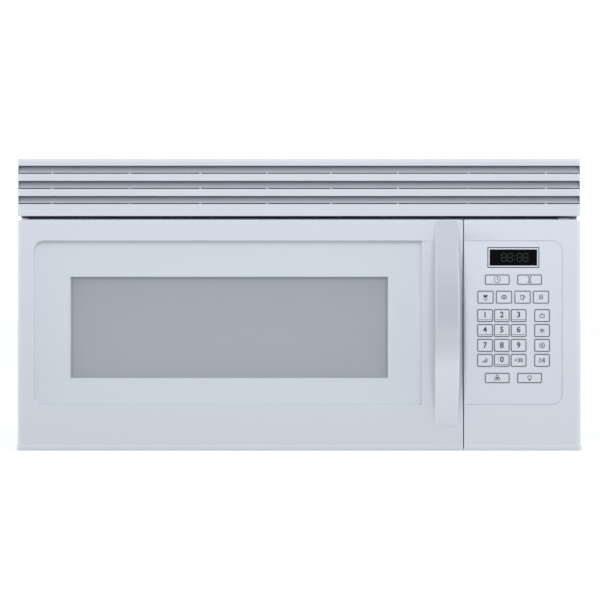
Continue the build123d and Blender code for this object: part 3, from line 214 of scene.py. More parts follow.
class Finish:
    """A material with one Principled shader, ready for the inputs that vary."""

    def __init__(self, name, **constants):
        self.material = bpy.data.materials.new(name)
        self.material.use_nodes = True
        self.tree = self.material.node_tree
        self.tree.nodes.clear()
        self.shader = self.tree.nodes.new("ShaderNodeBsdfPrincipled")
        surface = self.tree.nodes.new("ShaderNodeOutputMaterial")
        self.tree.links.new(self.shader.outputs[0], surface.inputs[0])
        place = self.tree.nodes.new("ShaderNodeTexCoord")
        self.place = Signal(self.tree, place.outputs["Object"])
        for socket, value in constants.items():
            self.shader.inputs[socket.replace("_", " ")].default_value = value

    def feed(self, socket, signal):
        self.tree.links.new(signal.socket, self.shader.inputs[socket])

    def low_shade(self):
        """1 at the bottom of the front, 0 at its top: how strongly painted shade darkens the front there."""
        return 1 - self.place.axis(2).rise(0.0, LOW_SHADE_TOP)

    def relief(self, height, distance):
        bump = self.place.node("ShaderNodeBump", None, {"Height": height, "Distance": distance})
        self.feed("Normal", bump)


def rgba(colour, factor=1.0):
    return tuple(channel * factor for channel in colour[:3]) + (1.0,)


# ---- Finishes ----
def coated(name, colour, roughness, coat=0.0, metallic=0.0, shift=0.96, patch=18.0, grain=700.0,
           depth=0.00002, stretch=(1.0, 1.0, 1.0), painted_low_shade=False):
    """Plastic, paint or plain metal: slow drift of colour and gloss, fine grain in the surface."""
    made = Finish(name, Metallic=metallic, Coat_Weight=coat, Coat_Roughness=0.08, IOR=1.45)
    drift = made.place.noise(patch, 3.0)
    fine = made.place.scaled(*stretch).noise(grain)
    tone = drift.blend(colour, rgba(colour, shift))
    # Painted shade: the colour darkens towards the bottom of the front.
    if painted_low_shade:
        tone = made.low_shade().blend(tone, rgba(colour, LOW_SHADE_TONE))
    made.feed("Base Color", tone)
    made.feed("Roughness", (fine + drift) * 0.08 + (roughness - 0.08))
    made.relief(fine, depth)
    return made


def slot_plastic(colours):
    """White plastic inside the grille's slots, painted greyer the deeper it lies: painted shade of the
    slots.
    """
    made = Finish("slot plastic", IOR=1.45)
    place = made.place
    deep = place.axis(1).rise(FACE_Y - 0.004, FACE_Y + 0.0065)
    # Painted shade: darker the deeper into the slot, with a little random tone mixed in.
    painted_slot_shade = deep * 0.92 + place.scaled(1.0, 1.0, 3.0).noise(60.0, 4.0) * 0.08
    made.feed("Base Color", painted_slot_shade.blend(colours.moulding, colours.slot))
    made.feed("Roughness", place.noise(700.0) * 0.08 + deep * 0.3 + 0.36)
    made.relief(place.noise(700.0), 0.000012)
    return made


def handle_plastic(colours):
    """Glossy plastic, painted darker from mid height up and a little less at its top, as painted shade
    standing in for dark reflections; its own colour near its lower end.
    """
    made = Finish("handle plastic", Coat_Weight=0.8, Coat_Roughness=0.08, IOR=1.5)
    place = made.place
    height = place.axis(2)
    # Painted shade: darker from mid height up, a little less at the top, in place of dark reflections.
    handle_painted_shade = height.rise(0.105, 0.150) - height.rise(0.205, 0.255) * 0.25
    tone = place.noise(26.0, 3.0) * 0.06 + handle_painted_shade * 0.94
    made.feed("Base Color", tone.blend(colours.handle, colours.handle_shade))
    made.feed("Roughness", place.noise(500.0) * 0.06 + handle_painted_shade * 0.05 + 0.13)
    made.relief(place.noise(700.0), 0.00001)
    return made


def zinc_sheet(name, scale):
    """Galvanised steel with its spangle."""
    made = Finish(name, Metallic=0.9)
    spangle = made.place.cells(scale, output="Color").axis(0)
    made.feed("Base Color", spangle.blend((0.50, 0.52, 0.54), (0.66, 0.68, 0.70)))
    made.feed("Roughness", spangle * 0.16 + made.place.noise(600.0) * 0.1 + 0.28)
    made.relief(made.place.cells(scale) * 0.3 + made.place.noise(900.0), 0.00003)
    return made


def round_dots(across, up, pitch, size):
    """Dots of a perforated wall, 1 inside a dot."""
    side = across.stripe(pitch) - 0.5
    rise = up.stripe(pitch) - 0.5
    return (side * side + rise * rise) < size


def cavity_enamel():
    """Speckled enamel, with the air holes of the two side walls painted in as near-black dots: painted shade
    of the space behind them.
    """
    made = Finish("cavity enamel", Coat_Weight=0.3, Coat_Roughness=0.12, IOR=1.5)
    place = made.place
    depth = place.axis(1)
    height = place.axis(2)
    side_wall = (place.axis(0) - CAVITY_MIDDLE_X).size() > CAVITY_HALF_WIDTH
    along = depth.between(*CAVITY_HOLES_FRONT) + depth.between(*CAVITY_HOLES_REAR)
    field = along * height.between(*CAVITY_HOLES_UP)
    holes = round_dots(depth, height, pitch=0.007, size=0.075) * side_wall * field
    tone = place.noise(14.0).blend((0.70, 0.71, 0.69), (0.66, 0.67, 0.65))
    spotted = ((place.cells(450.0) < 0.16) * 0.5).blend(tone, (0.50, 0.51, 0.50))
    # Painted shade: the holes are near-black dots, for the darkness behind real holes.
    made.feed("Base Color", holes.blend(spotted, (0.01, 0.01, 0.01)))
    made.feed("Roughness", place.noise(300.0) * 0.15 + 0.25)
    made.relief(place.noise(350.0) - holes * 2.0, 0.00008)
    return made


def mica():
    """Pressed mica flakes of the waveguide cover."""
    made = Finish("pressed mica", Coat_Weight=0.2, IOR=1.5)
    flakes = made.place.cells(260.0, output="Color").axis(1)
    made.feed("Base Color", flakes.blend((0.46, 0.38, 0.24), (0.66, 0.58, 0.42)))
    made.feed("Roughness", flakes * 0.3 + 0.25)
    made.relief(made.place.cells(260.0), 0.0001)
    return made


def transformer():
    """Laminated core, copper windings at its ends, bright can of the capacitor."""
    made = Finish("transformer", IOR=1.5)
    place = made.place
    plates = place.axis(1).stripe(0.0007)
    coil = (place.axis(1) - CORE_MIDDLE_Y).size() > CORE_HALF
    can = place.axis(0) < CAPACITOR_RIGHT
    steel = (plates * 0.5).blend((0.085, 0.083, 0.08), (0.045, 0.044, 0.042))
    copper = place.axis(2).stripe(0.0011).blend((0.38, 0.13, 0.05), (0.22, 0.07, 0.03))
    made.feed("Base Color", can.blend(coil.blend(steel, copper), (0.60, 0.61, 0.62)))
    made.feed("Roughness", place.noise(500.0) * 0.2 + 0.35)
    made.feed("Metallic", can * 0.8)
    made.relief(plates * (1 - can) + place.noise(700.0) * 0.3, 0.00008)
    return made


def frosted_lens():
    """Clear plastic with crossed ridges."""
    made = Finish("frosted lens", IOR=1.5, Coat_Weight=0.3)
    place = made.place
    ridges = place.axis(0).wave(0.004) * place.axis(1).wave(0.004)
    made.feed("Base Color", place.noise(30.0).blend((0.86, 0.88, 0.88), (0.78, 0.80, 0.80)))
    made.feed("Roughness", place.noise(400.0) * 0.15 + 0.12)
    made.feed("Alpha", ridges * 0.12 + 0.66)
    made.relief(ridges, 0.0004)
    return made


def charcoal():
    made = Finish("charcoal pad", IOR=1.45)
    grains = made.place.cells(380.0)
    made.feed("Base Color", grains.blend((0.028, 0.028, 0.03), (0.006, 0.006, 0.007)))
    made.feed("Roughness", grains * 0.4 + 0.5)
    made.relief(grains, 0.0012)
    return made


def display_lens():
    made = Finish("display lens", Specular_IOR_Level=0.08, IOR=1.45)
    tint = made.place.noise(60.0)
    made.feed("Base Color", tint.blend((0.0022, 0.0025, 0.0030), (0.0030, 0.0032, 0.0038)))
    made.feed("Roughness", tint * 0.1 + 0.12)
    return made


def circuit_board():
    """Green laminate with lighter tracks; the parts on it are dark."""
    made = Finish("circuit board", IOR=1.5)
    place = made.place
    laminate = (place.axis(1) - BOARD_Y).size() < BOARD_HALF
    tracks = place.scaled(1.0, 1.0, 0.25).cells(260.0, "DISTANCE_TO_EDGE") < 0.09
    green = tracks.blend((0.015, 0.10, 0.035), (0.03, 0.19, 0.07))
    made.feed("Base Color", laminate.blend((0.02, 0.02, 0.022), green))
    made.feed("Roughness", place.noise(400.0) * 0.2 + 0.3)
    made.relief(tracks * laminate + place.noise(500.0) * 0.2, 0.00006)
    return made


def window_pane(colours):
    """Glass with a white margin printed on its back, clear before the screen."""
    made = Finish("window pane", IOR=1.45, Coat_Weight=0.2, Coat_Roughness=0.05)
    place = made.place
    margin = 0.0004
    clear = (place.axis(0).between(SCREEN_LEFT - margin, SCREEN_RIGHT + margin)
             * place.axis(2).between(SCREEN_LOW - margin, SCREEN_HIGH + margin))
    printed = place.noise(9.0).blend(colours.glass_print, rgba(colours.glass_print, 0.98))
    # Painted shade: the print darkens towards the bottom of the front.
    printed = made.low_shade().blend(printed, rgba(colours.glass_print, LOW_SHADE_TONE))
    made.feed("Base Color", clear.blend(printed, (0.80, 0.84, 0.86)))
    made.feed("Alpha", 1.0 - clear * 0.94)
    made.feed("Roughness", place.noise(200.0) * 0.06 + 0.16)
    return made


def tray_glass():
    """Plain pressed glass, slightly green."""
    made = Finish("tray glass", IOR=1.5, Coat_Weight=0.6, Coat_Roughness=0.04)
    ripple = made.place.noise(120.0)
    made.feed("Base Color", ripple.blend((0.80, 0.90, 0.88), (0.74, 0.85, 0.83)))
    made.feed("Alpha", ripple * 0.1 + 0.30)
    made.feed("Roughness", ripple * 0.08 + 0.06)
    made.relief(ripple, 0.0002)
    return made


def studio_floor():
    made = Finish("floor", Roughness=0.9, Emission_Color=(1.0, 1.0, 1.0, 1.0), Emission_Strength=0.35)
    made.feed("Base Color", made.place.noise(1.5).blend((0.84, 0.84, 0.84), (0.83, 0.83, 0.83)))
    return made


METAL = {"metallic": 0.95, "roughness": 0.32, "shift": 0.8}
# The panel is painted slightly lighter than the door: painted light for the brighter right side of the
# front.
PANEL_PAINTED_LIGHT = 1.045


def build_finishes(colours):
    """All materials by name; the record's slots are among the names."""
    white = colours.moulding
    made = {
        # These front finishes are painted darker towards the bottom, as painted shade.
        "fascia_plastic": coated("fascia plastic", white, 0.3, coat=0.25, depth=0.000012, painted_low_shade=True),
        "panel_plastic": coated("panel plastic", rgba(white, PANEL_PAINTED_LIGHT), 0.3, coat=0.25, depth=0.000012,
                                painted_low_shade=True),
        "handle_plastic": handle_plastic(colours),
        "slot_plastic": slot_plastic(colours),
        "case_paint": coated("case paint", colours.case, 0.38, coat=0.1, grain=420.0, depth=0.00006),
        "front_plate_paint": coated("front plate paint", (0.72, 0.73, 0.74), 0.34, coat=0.1, grain=420.0,
                                    depth=0.00005),
        "choke_plastic": coated("choke plastic", (0.70, 0.71, 0.73), 0.32, coat=0.15),
        "switch_plastic": coated("switch plastic", (0.60, 0.58, 0.52), 0.5),
        "latch_plastic": coated("latch plastic", (0.72, 0.71, 0.66), 0.42),
        "coupler_plastic": coated("coupler plastic", (0.66, 0.66, 0.63), 0.5, grain=900.0),
        "ring_plastic": coated("ring plastic", (0.70, 0.70, 0.67), 0.48, grain=900.0),
        "fan_plastic": coated("fan plastic", (0.72, 0.72, 0.69), 0.45),
        "wheel_plastic": coated("wheel plastic", (0.02, 0.02, 0.022), 0.5),
        "gland_plastic": coated("gland plastic", (0.012, 0.012, 0.012), 0.55),
        "hinge_steel": coated("hinge steel", (0.62, 0.63, 0.65), patch=120.0, **METAL),
        "motor_can": coated("motor can", (0.58, 0.59, 0.60), patch=60.0, **METAL),
        "screw_steel": coated("screw steel", (0.60, 0.61, 0.63), patch=300.0, **METAL),
        "magnetron_metal": coated("magnetron metal", (0.62, 0.63, 0.64), patch=40.0,
                                  stretch=(0.05, 1.0, 1.0), **METAL),
        "filter_mesh": coated("filter aluminium", (0.66, 0.67, 0.68), patch=90.0, **METAL),
        "screen_steel": coated("screen enamel", colours.screen, 0.42, grain=500.0, depth=0.00003),
        "print_ink": coated("print ink", colours.ink, 0.6, shift=0.8, patch=900.0),
        # The keypad films are also painted darker towards the bottom, as painted shade.
        "keypad_film": coated("keypad film", colours.film, 0.32, coat=0.1, depth=0.00001, painted_low_shade=True),
        "key_film": coated("key film", colours.film, 0.3, coat=0.1, depth=0.00001, painted_low_shade=True),
        "display_segment": coated("display segment", (0.022, 0.026, 0.030), 0.5),
        "galvanised_sheet": zinc_sheet("galvanised sheet", 90.0),
        "blower_casing": zinc_sheet("blower casing", 110.0),
        "cavity_enamel": cavity_enamel(),
        "mica": mica(),
        "transformer_steel": transformer(),
        "lamp_lens": frosted_lens(),
        "charcoal": charcoal(),
        "display_lens": display_lens(),
        "circuit_board": circuit_board(),
        "door_glass_pane": window_pane(colours),
        "tray_glass": tray_glass(),
        "floor": studio_floor(),
    }
    return {name: finish.material for name, finish in made.items()}


# ---- Mesh helpers ----
SHARP = math.radians(38)
FLAT_WITHIN = math.radians(0.8)
WELD_DISTANCE = 0.000002
CUT_DISTANCE = 0.00001
TO_FRONT = Matrix.Rotation(math.radians(90), 3, "X")


def flag_sharp(bm, limit):
    """Smooth faces, with the edges sharper than limit kept hard."""
    for face in bm.faces:
        face.smooth = True
    for edge in bm.edges:
        edge.smooth = len(edge.link_faces) == 2 and edge.calc_face_angle(0.0) < limit


def linked(name, data):
    """New object in the scene."""
    made = bpy.data.objects.new(name, data)
    bpy.context.scene.collection.objects.link(made)
    return made


def object_from(name, bm, materials):
    """Object made of a finished bmesh, with its materials."""
    mesh = bpy.data.meshes.new(name)
    bm.to_mesh(mesh)
    bm.free()
    for material in materials:
        mesh.materials.append(finishes[material])
    return linked(name, mesh)


def piece(name, bm, body, materials, even=True):
    """Finish a mesh: an object at the origin that rides on its body."""
    flag_sharp(bm, SHARP)
    made = object_from(name, bm, materials)
    if even:
        made.modifiers.new("Even shading", "WEIGHTED_NORMAL").keep_sharp = True
    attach(made, body)
    return made


def stand_in(name, bm, node, materials=(), even=True):
    """Piece in place of a CAD node, on the same body and slot."""
    body = nodes[node].parent.name.removeprefix("body:")
    made = piece(name, bm, body, materials or [slots[node]], even)
    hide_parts(node)
    return made


def welded(node):
    """Copy of a CAD node's mesh, merged, with its flat faces whole again."""
    bm = bmesh.new()
    bm.from_mesh(nodes[node].data)
    bmesh.ops.remove_doubles(bm, verts=bm.verts, dist=WELD_DISTANCE)
    bmesh.ops.dissolve_limit(bm, angle_limit=FLAT_WITHIN, verts=bm.verts, edges=bm.edges)
    return bm


def sharp_edges(bm, where=None, low=25.0, high=170.0):
    """Edges whose faces meet at an angle and whose both ends pass the test."""
    found = []
    for edge in bm.edges:
        if len(edge.link_faces) == 2 and low < math.degrees(edge.calc_face_angle(0.0)) < high:
            if where is None or all(where(vert.co) for vert in edge.verts):
                found.append(edge)
    return found


def round_off(bm, geom, offset, segments=3, affect="EDGES"):
    bmesh.ops.bevel(bm, geom=geom, offset=offset, segments=segments, profile=0.5, affect=affect,
                    clamp_overlap=True, material=-1)


def everything(bm):
    return bm.verts[:] + bm.edges[:] + bm.faces[:]


def circle(bm, segments, radius):
    return bmesh.ops.create_circle(bm, segments=segments, radius=radius)["verts"]


def rectangle(bm, width, height):
    made = bmesh.ops.create_grid(bm, x_segments=1, y_segments=1, size=0.5)["verts"]
    bmesh.ops.scale(bm, vec=(width, height, 1.0), verts=made)
    return made


def put(bm, verts, turn, place):
    """Turn a shape about the origin, then move it to its place."""
    bmesh.ops.rotate(bm, cent=(0, 0, 0), matrix=turn, verts=verts)
    bmesh.ops.translate(bm, vec=place, verts=verts)


def from_upright(direction):
    """Turn that takes +Z to a direction."""
    return Vector((0, 0, 1)).rotation_difference(Vector(direction)).to_matrix()


def front_outline(bm, x0, x1, z0, z1, y, radius=0.0, steps=5):
    """Rectangle seen from the front at depth y, with round corners; returns its face."""
    made = rectangle(bm, x1 - x0, z1 - z0)
    put(bm, made, TO_FRONT, ((x0 + x1) / 2, y, (z0 + z1) / 2))
    face = made[0].link_faces[0]
    if radius:
        before = set(bm.faces)
        round_off(bm, made, radius, steps, "VERTICES")
        if not face.is_valid:
            face = [f for f in bm.faces if f not in before][0]
    return face


def moved_verts(made):
    return [item for item in made["geom"] if isinstance(item, bmesh.types.BMVert)]


def thicken(bm, faces, depth):
    """Extrude faces into a closed block that goes depth along +Y."""
    made = bmesh.ops.extrude_face_region(bm, geom=faces)
    bmesh.ops.translate(bm, vec=(0, depth, 0), verts=moved_verts(made))


def loop_edges(verts):
    return list({edge for vert in verts for edge in vert.link_edges})


def bridge_all(bm, loops):
    """Bridge each loop of edges to the next."""
    for first, second in zip(loops, loops[1:]):
        bmesh.ops.bridge_loops(bm, edges=first + second)


def outward(bm):
    bmesh.ops.recalc_face_normals(bm, faces=bm.faces)


def rod(bm, start, end, radius, segments=8):
    """Round bar between two points."""
    run = Vector(end) - Vector(start)
    made = bmesh.ops.create_cone(bm, cap_ends=True, segments=segments, radius1=radius, radius2=radius,
                                 depth=run.length)["verts"]
    put(bm, made, from_upright(run), (Vector(start) + Vector(end)) / 2)


# ---- Properties ----
def colour_property(name, description, default):
    return bpy.props.FloatVectorProperty(name=name, description=description, subtype="COLOR", size=3,
                                         min=0.0, max=1.0, default=default)


def length_property(name, description, default):
    return bpy.props.FloatProperty(name=name, description=description, default=default, min=0.0,
                                   precision=5, unit="LENGTH")


class MicrowaveColours(bpy.types.PropertyGroup):
    """Colours that a user would change."""

    moulding: colour_property("Mouldings", "White plastic of door, panel and grille", (0.745, 0.765, 0.80))
    handle: colour_property("Handle", "Plastic of the handle", (0.72, 0.74, 0.77))
    # Painted shade of the handle: its colour from mid height up.
    handle_shade: colour_property("Grip", "Greyed part of the handle", (0.545, 0.565, 0.60))
    # Slot shade is painted shade: the colour deep in the grille's slots.
    slot: colour_property("Slot shade", "Plastic at the bottom of the grille's slots", (0.35, 0.365, 0.395))
    case: colour_property("Case", "Enamel of the outer case", (0.73, 0.74, 0.76))
    film: colour_property("Keypad film", "Film over the keypad", (0.785, 0.805, 0.845))
    ink: colour_property("Ink", "Printed outlines and figures on the keys", (0.045, 0.05, 0.07))
    glass_print: colour_property("Window margin", "White print on the back of the glass",
                                 (0.745, 0.775, 0.80))
    screen: colour_property("Screen", "Enamel of the perforated screen", (0.625, 0.655, 0.685))


class MicrowaveSizes(bpy.types.PropertyGroup):
    """Sizes of the details that the frame leaves open."""

    bead: length_property("Bead", "Rounding of the recess's outline on the door", 0.0009)
    panel_bead: length_property("Panel bead", "Rounding of the recess's outline on the panel", 0.0003)
    lip_edge: length_property("Lip edge", "Rounding of the bottom lip's edges", 0.0004)
    slat_edge: length_property("Slat edge", "Rounding of the grille's slats", 0.0005)
    top_round: length_property("Top rounding", "Rounding along the top of the grille", 0.0055)
    end_round: length_property("End rounding", "Rounding of the grille's two ends", 0.0070)
    hole_pitch: length_property("Hole pitch", "Distance of the screen's holes along a row", 0.0034)
    row_pitch: length_property("Row pitch", "Distance of the screen's rows", 0.002)
    hole_radius: length_property("Hole radius", "Radius of the screen's holes", 0.00094)
    handle_round: length_property("Handle rounding", "Edge rounding of the handle's section", 0.0042)
    outline: length_property("Key outline", "Width of the line printed round each key", 0.0010)
    wire: length_property("Filter wire", "Radius of the grease filter's wires", 0.00035)
    wire_pitch: length_property("Filter pitch", "Distance of the grease filter's wires", 0.0040)


finishes = {}


# ---- Operators: materials of the frame ----
class MICROWAVE_OT_finishes(bpy.types.Operator):
    """Make every material and give the carried nodes theirs"""

    bl_idname = "microwave.finishes"
    bl_label = "Finishes"

    def execute(self, context):
        finishes.update(build_finishes(context.scene.microwave_colours))
        for node, slot in slots.items():
            nodes[node].data.materials.clear()
            nodes[node].data.materials.append(finishes[slot])
        return {"FINISHED"}


# ---- Operators: front ----
ON_FRONT = 0.0005
# Part of its height under LIP_MIDDLE by which the lip's underside is drawn down.
LIP_DRAWN = 0.4


def on_plain_front(co):
    """On the front plane, away from the finger relief."""
    in_relief = RELIEF_LEFT < co.x < RELIEF_RIGHT and RELIEF_LOW < co.z < RELIEF_HIGH
    return co.y < FACE_Y + ON_FRONT and not in_relief


def shift_seam(bm):
    """Move the edges beside the seam, so that the seam runs where the picture has it."""
    for vert in bm.verts:
        nearness = 1 - abs(vert.co.x - SEAM_X) / SEAM_REACH
        vert.co.x += SEAM_SHIFT * max(0.0, nearness)


def lower_lip(bm):
    """Draw the lip's underside down to just above the floor of the frame."""
    for vert in bm.verts:
        if vert.co.y < LIP_BACK_Y:
            vert.co.z -= LIP_DRAWN * max(0.0, LIP_MIDDLE - vert.co.z)


def moulding(node, name, bead, lip_edge, material):
    """Fascia part with a rounded recess outline and lip."""
    bm = welded(node)
    shift_seam(bm)
    lower_lip(bm)
    recess = sharp_edges(bm, lambda co: on_plain_front(co) and RECESS_LOW < co.z < RECESS_HIGH)
    round_off(bm, recess, bead)
    round_off(bm, sharp_edges(bm, lambda co: co.z < LIP_TOP and co.y < LIP_BACK_Y), lip_edge, 2)
    stand_in(name, bm, node, [material])


class MICROWAVE_OT_fascia(bpy.types.Operator):
    """Door moulding and control panel moulding with rounded edges"""

    bl_idname = "microwave.fascia"
    bl_label = "Fascia"

    def execute(self, context):
        sizes = context.scene.microwave_sizes
        moulding("door_frame", "door_moulding", sizes.bead, sizes.lip_edge, "fascia_plastic")
        moulding("control_panel", "panel_moulding", sizes.panel_bead, sizes.lip_edge, "panel_plastic")
        return {"FINISHED"}


class MICROWAVE_OT_grille(bpy.types.Operator):
    """Vent grille with rounded slats and a round top edge"""

    bl_idname = "microwave.grille"
    bl_label = "Vent grille"

    def execute(self, context):
        sizes = context.scene.microwave_sizes
        low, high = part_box("vent_grille")
        on_front = FACE_Y + 0.0002
        in_slot = FACE_Y + 0.0006
        bm = welded("vent_grille")
        slats = sharp_edges(bm, lambda co: co.y < on_front and SLOTS_LOW < co.z < SLOTS_HIGH)
        round_off(bm, slats, sizes.slat_edge, 2)
        for face in bm.faces:
            middle = face.calc_center_median()
            if middle.y > in_slot and SLOTS_LOW < middle.z < SLOTS_HIGH:
                face.material_index = 1
        turn_back(bm, 0, -1, -low.x, sizes.end_round)
        turn_back(bm, 0, 1, high.x, sizes.end_round)
        turn_back(bm, 2, 1, high.z, sizes.top_round)
        stand_in("grille_moulding", bm, "vent_grille", ["fascia_plastic", "slot_plastic"])
        return {"FINISHED"}


def turn_back(bm, axis, side, limit, radius):
    """Cut the front across near a limit on one axis and turn the cut strips back round a radius."""
    normal = Vector((0, 0, 0))
    normal[axis] = side
    for angle in range(0, 90, 10):
        reach = limit - radius + radius * math.sin(math.radians(angle))
        bmesh.ops.bisect_plane(bm, geom=everything(bm), dist=CUT_DISTANCE,
                               plane_co=normal * reach, plane_no=normal)
    for vert in bm.verts:
        past = side * vert.co[axis] - (limit - radius)
        if past > 0 and vert.co.y < FACE_Y + TURN_DEPTH:
            turned = radius - math.sqrt(max(0.0, radius**2 - past**2))
            vert.co.y += turned * (1 - (vert.co.y - FACE_Y) / TURN_DEPTH)


class MICROWAVE_OT_handle(bpy.types.Operator):
    """Bowed door handle with a round-cornered section"""

    bl_idname = "microwave.handle"
    bl_label = "Handle"

    def execute(self, context):
        low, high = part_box("door_handle")
        thickness = 0.0115
        end_half = 0.0157
        end_y = FACE_Y - 0.0006
        cut_y = FACE_Y + 0.0002
        middle_half = (high.x - low.x) / 2
        half_height = (high.z - low.z) / 2
        rise = end_y - low.y
        bow = (half_height**2 + rise**2) / (2 * rise)
        centre = Vector(((low.x + high.x) / 2, low.y + bow, (low.z + high.z) / 2))
        half_angle = math.asin(half_height / bow)
        bm = bmesh.new()
        section = rectangle(bm, 2 * end_half, thickness)
        round_off(bm, section, context.scene.microwave_sizes.handle_round, 8, "VERTICES")
        bmesh.ops.translate(bm, vec=(centre.x, low.y + thickness / 2, centre.z), verts=bm.verts)
        bmesh.ops.rotate(bm, cent=centre, matrix=Matrix.Rotation(half_angle, 3, "X"), verts=bm.verts)
        bmesh.ops.spin(bm, geom=everything(bm), cent=centre, axis=(1, 0, 0),
                       dvec=(0, 0, 0), angle=-2 * half_angle, steps=72, use_merge=False,
                       use_normal_flip=False, use_duplicate=False)
        for vert in bm.verts:
            arm = vert.co - centre
            swell = math.cos(math.atan2(arm.z, -arm.y) / half_angle * math.pi / 2)
            vert.co.x = centre.x + arm.x * (1 + (middle_half / end_half - 1) * swell)
        kept = bmesh.ops.bisect_plane(bm, geom=everything(bm), dist=CUT_DISTANCE,
                                      plane_co=(0, cut_y, 0), plane_no=(0, 1, 0), clear_outer=True)
        rim = [g for g in kept["geom_cut"] if isinstance(g, bmesh.types.BMEdge)]
        bmesh.ops.holes_fill(bm, edges=rim, sides=0)
        outward(bm)
        stand_in("handle", bm, "door_handle")
        return {"FINISHED"}


class MICROWAVE_OT_screen(bpy.types.Operator):
    """Steel pan of the door with its perforated screen"""

    bl_idname = "microwave.screen"
    bl_label = "Pan and screen"

    def execute(self, context):
        bm = bmesh.new()
        # Left, right, bottom, top, depth and corner radius of each ring, from the pan's edge to the screen.
        rings = (
            (-0.3615, 0.1755, 0.0305, 0.2855, -0.1512, 0.008),
            (-0.3615, 0.1755, 0.0305, 0.2855, -0.1387, 0.008),
            (-0.3172, 0.1292, 0.0872, 0.2427, -0.1387, 0.003),
            (-0.3149, 0.1269, 0.0895, 0.2404, SCREEN_Y, 0.003),
        )
        # The rings are bridged far apart, because two in one plane would be joined half a turn out.
        apart = 0.5
        loops = []
        places = []
        for step, (x0, x1, z0, z1, y, radius) in enumerate(rings):
            face = front_outline(bm, x0, x1, z0, z1, step * apart, radius, 4)
            loops.append(list(face.edges))
            places.append((list(face.verts), y - step * apart))
            bmesh.ops.delete(bm, geom=[face], context="FACES_ONLY")
        bridge_all(bm, loops)
        for verts, back in places:
            bmesh.ops.translate(bm, vec=(0, back, 0), verts=verts)
        rim = moved_verts(bmesh.ops.extrude_edge_only(bm, edges=loops[-1]))
        middle = Vector(((SCREEN_LEFT + SCREEN_RIGHT) / 2, SCREEN_Y, (SCREEN_LOW + SCREEN_HIGH) / 2))
        x0, x1, z0, z1 = rings[-1][:4]
        inward = ((SCREEN_RIGHT - SCREEN_LEFT) / (x1 - x0), 1.0, (SCREEN_HIGH - SCREEN_LOW) / (z1 - z0))
        bmesh.ops.scale(bm, vec=inward, space=Matrix.Translation(-middle), verts=rim)
        outward(bm)
        pan = stand_in("door_pan", bm, "screen_pan")
        sheet = pan.modifiers.new("Sheet", "SOLIDIFY")
        sheet.thickness = 1.0 * MM
        sheet.offset = 0.0
        perforated_screen(context.scene.microwave_sizes)
        return {"FINISHED"}


def perforated_screen(sizes):
    """Two staggered cells with an eight-sided hole, repeated over the opening and a cell under its rim."""
    pitch = sizes.hole_pitch
    row = sizes.row_pitch
    bm = bmesh.new()
    for shift, level in ((0.0, 0.0), (pitch / 2, row)):
        hole = circle(bm, 8, sizes.hole_radius)
        cell = circle(bm, 8, 1.0)
        for vert in cell:
            vert.co.x = round(vert.co.x) * pitch / 2
            vert.co.y = round(vert.co.y) * row / 2
        bmesh.ops.bridge_loops(bm, edges=loop_edges(hole) + loop_edges(cell))
        bmesh.ops.translate(bm, vec=(shift, level, 0), verts=hole + cell)
    put(bm, bm.verts, TO_FRONT, (SCREEN_LEFT, SCREEN_Y, SCREEN_LOW))
    screen = piece("perforated_screen", bm, "door", ["screen_steel"], even=False)
    columns = math.ceil((SCREEN_RIGHT - SCREEN_LEFT) / pitch) + 1
    rows = math.ceil((SCREEN_HIGH - SCREEN_LOW) / (2 * row)) + 1
    for name, count, offset in (("Along", columns, (pitch, 0, 0)), ("Up", rows, (0, 0, 2 * row))):
        array = screen.modifiers.new(name, "ARRAY")
        array.use_relative_offset = False
        array.use_constant_offset = True
        array.constant_offset_displace = offset
        array.count = count


# ---- Operators: keypad ----
KEYS = [node for node in slots if node.startswith("key_")]
UNDERLINED = ("key_1", "key_2", "key_3", "key_4", "key_5", "key_6", "key_0")

# One wave of rising heat; the pictogram has three side by side.
WAVE = ((-4, -30, 4, -8), (4, -8, -4, 10), (-4, 10, 4, 32))
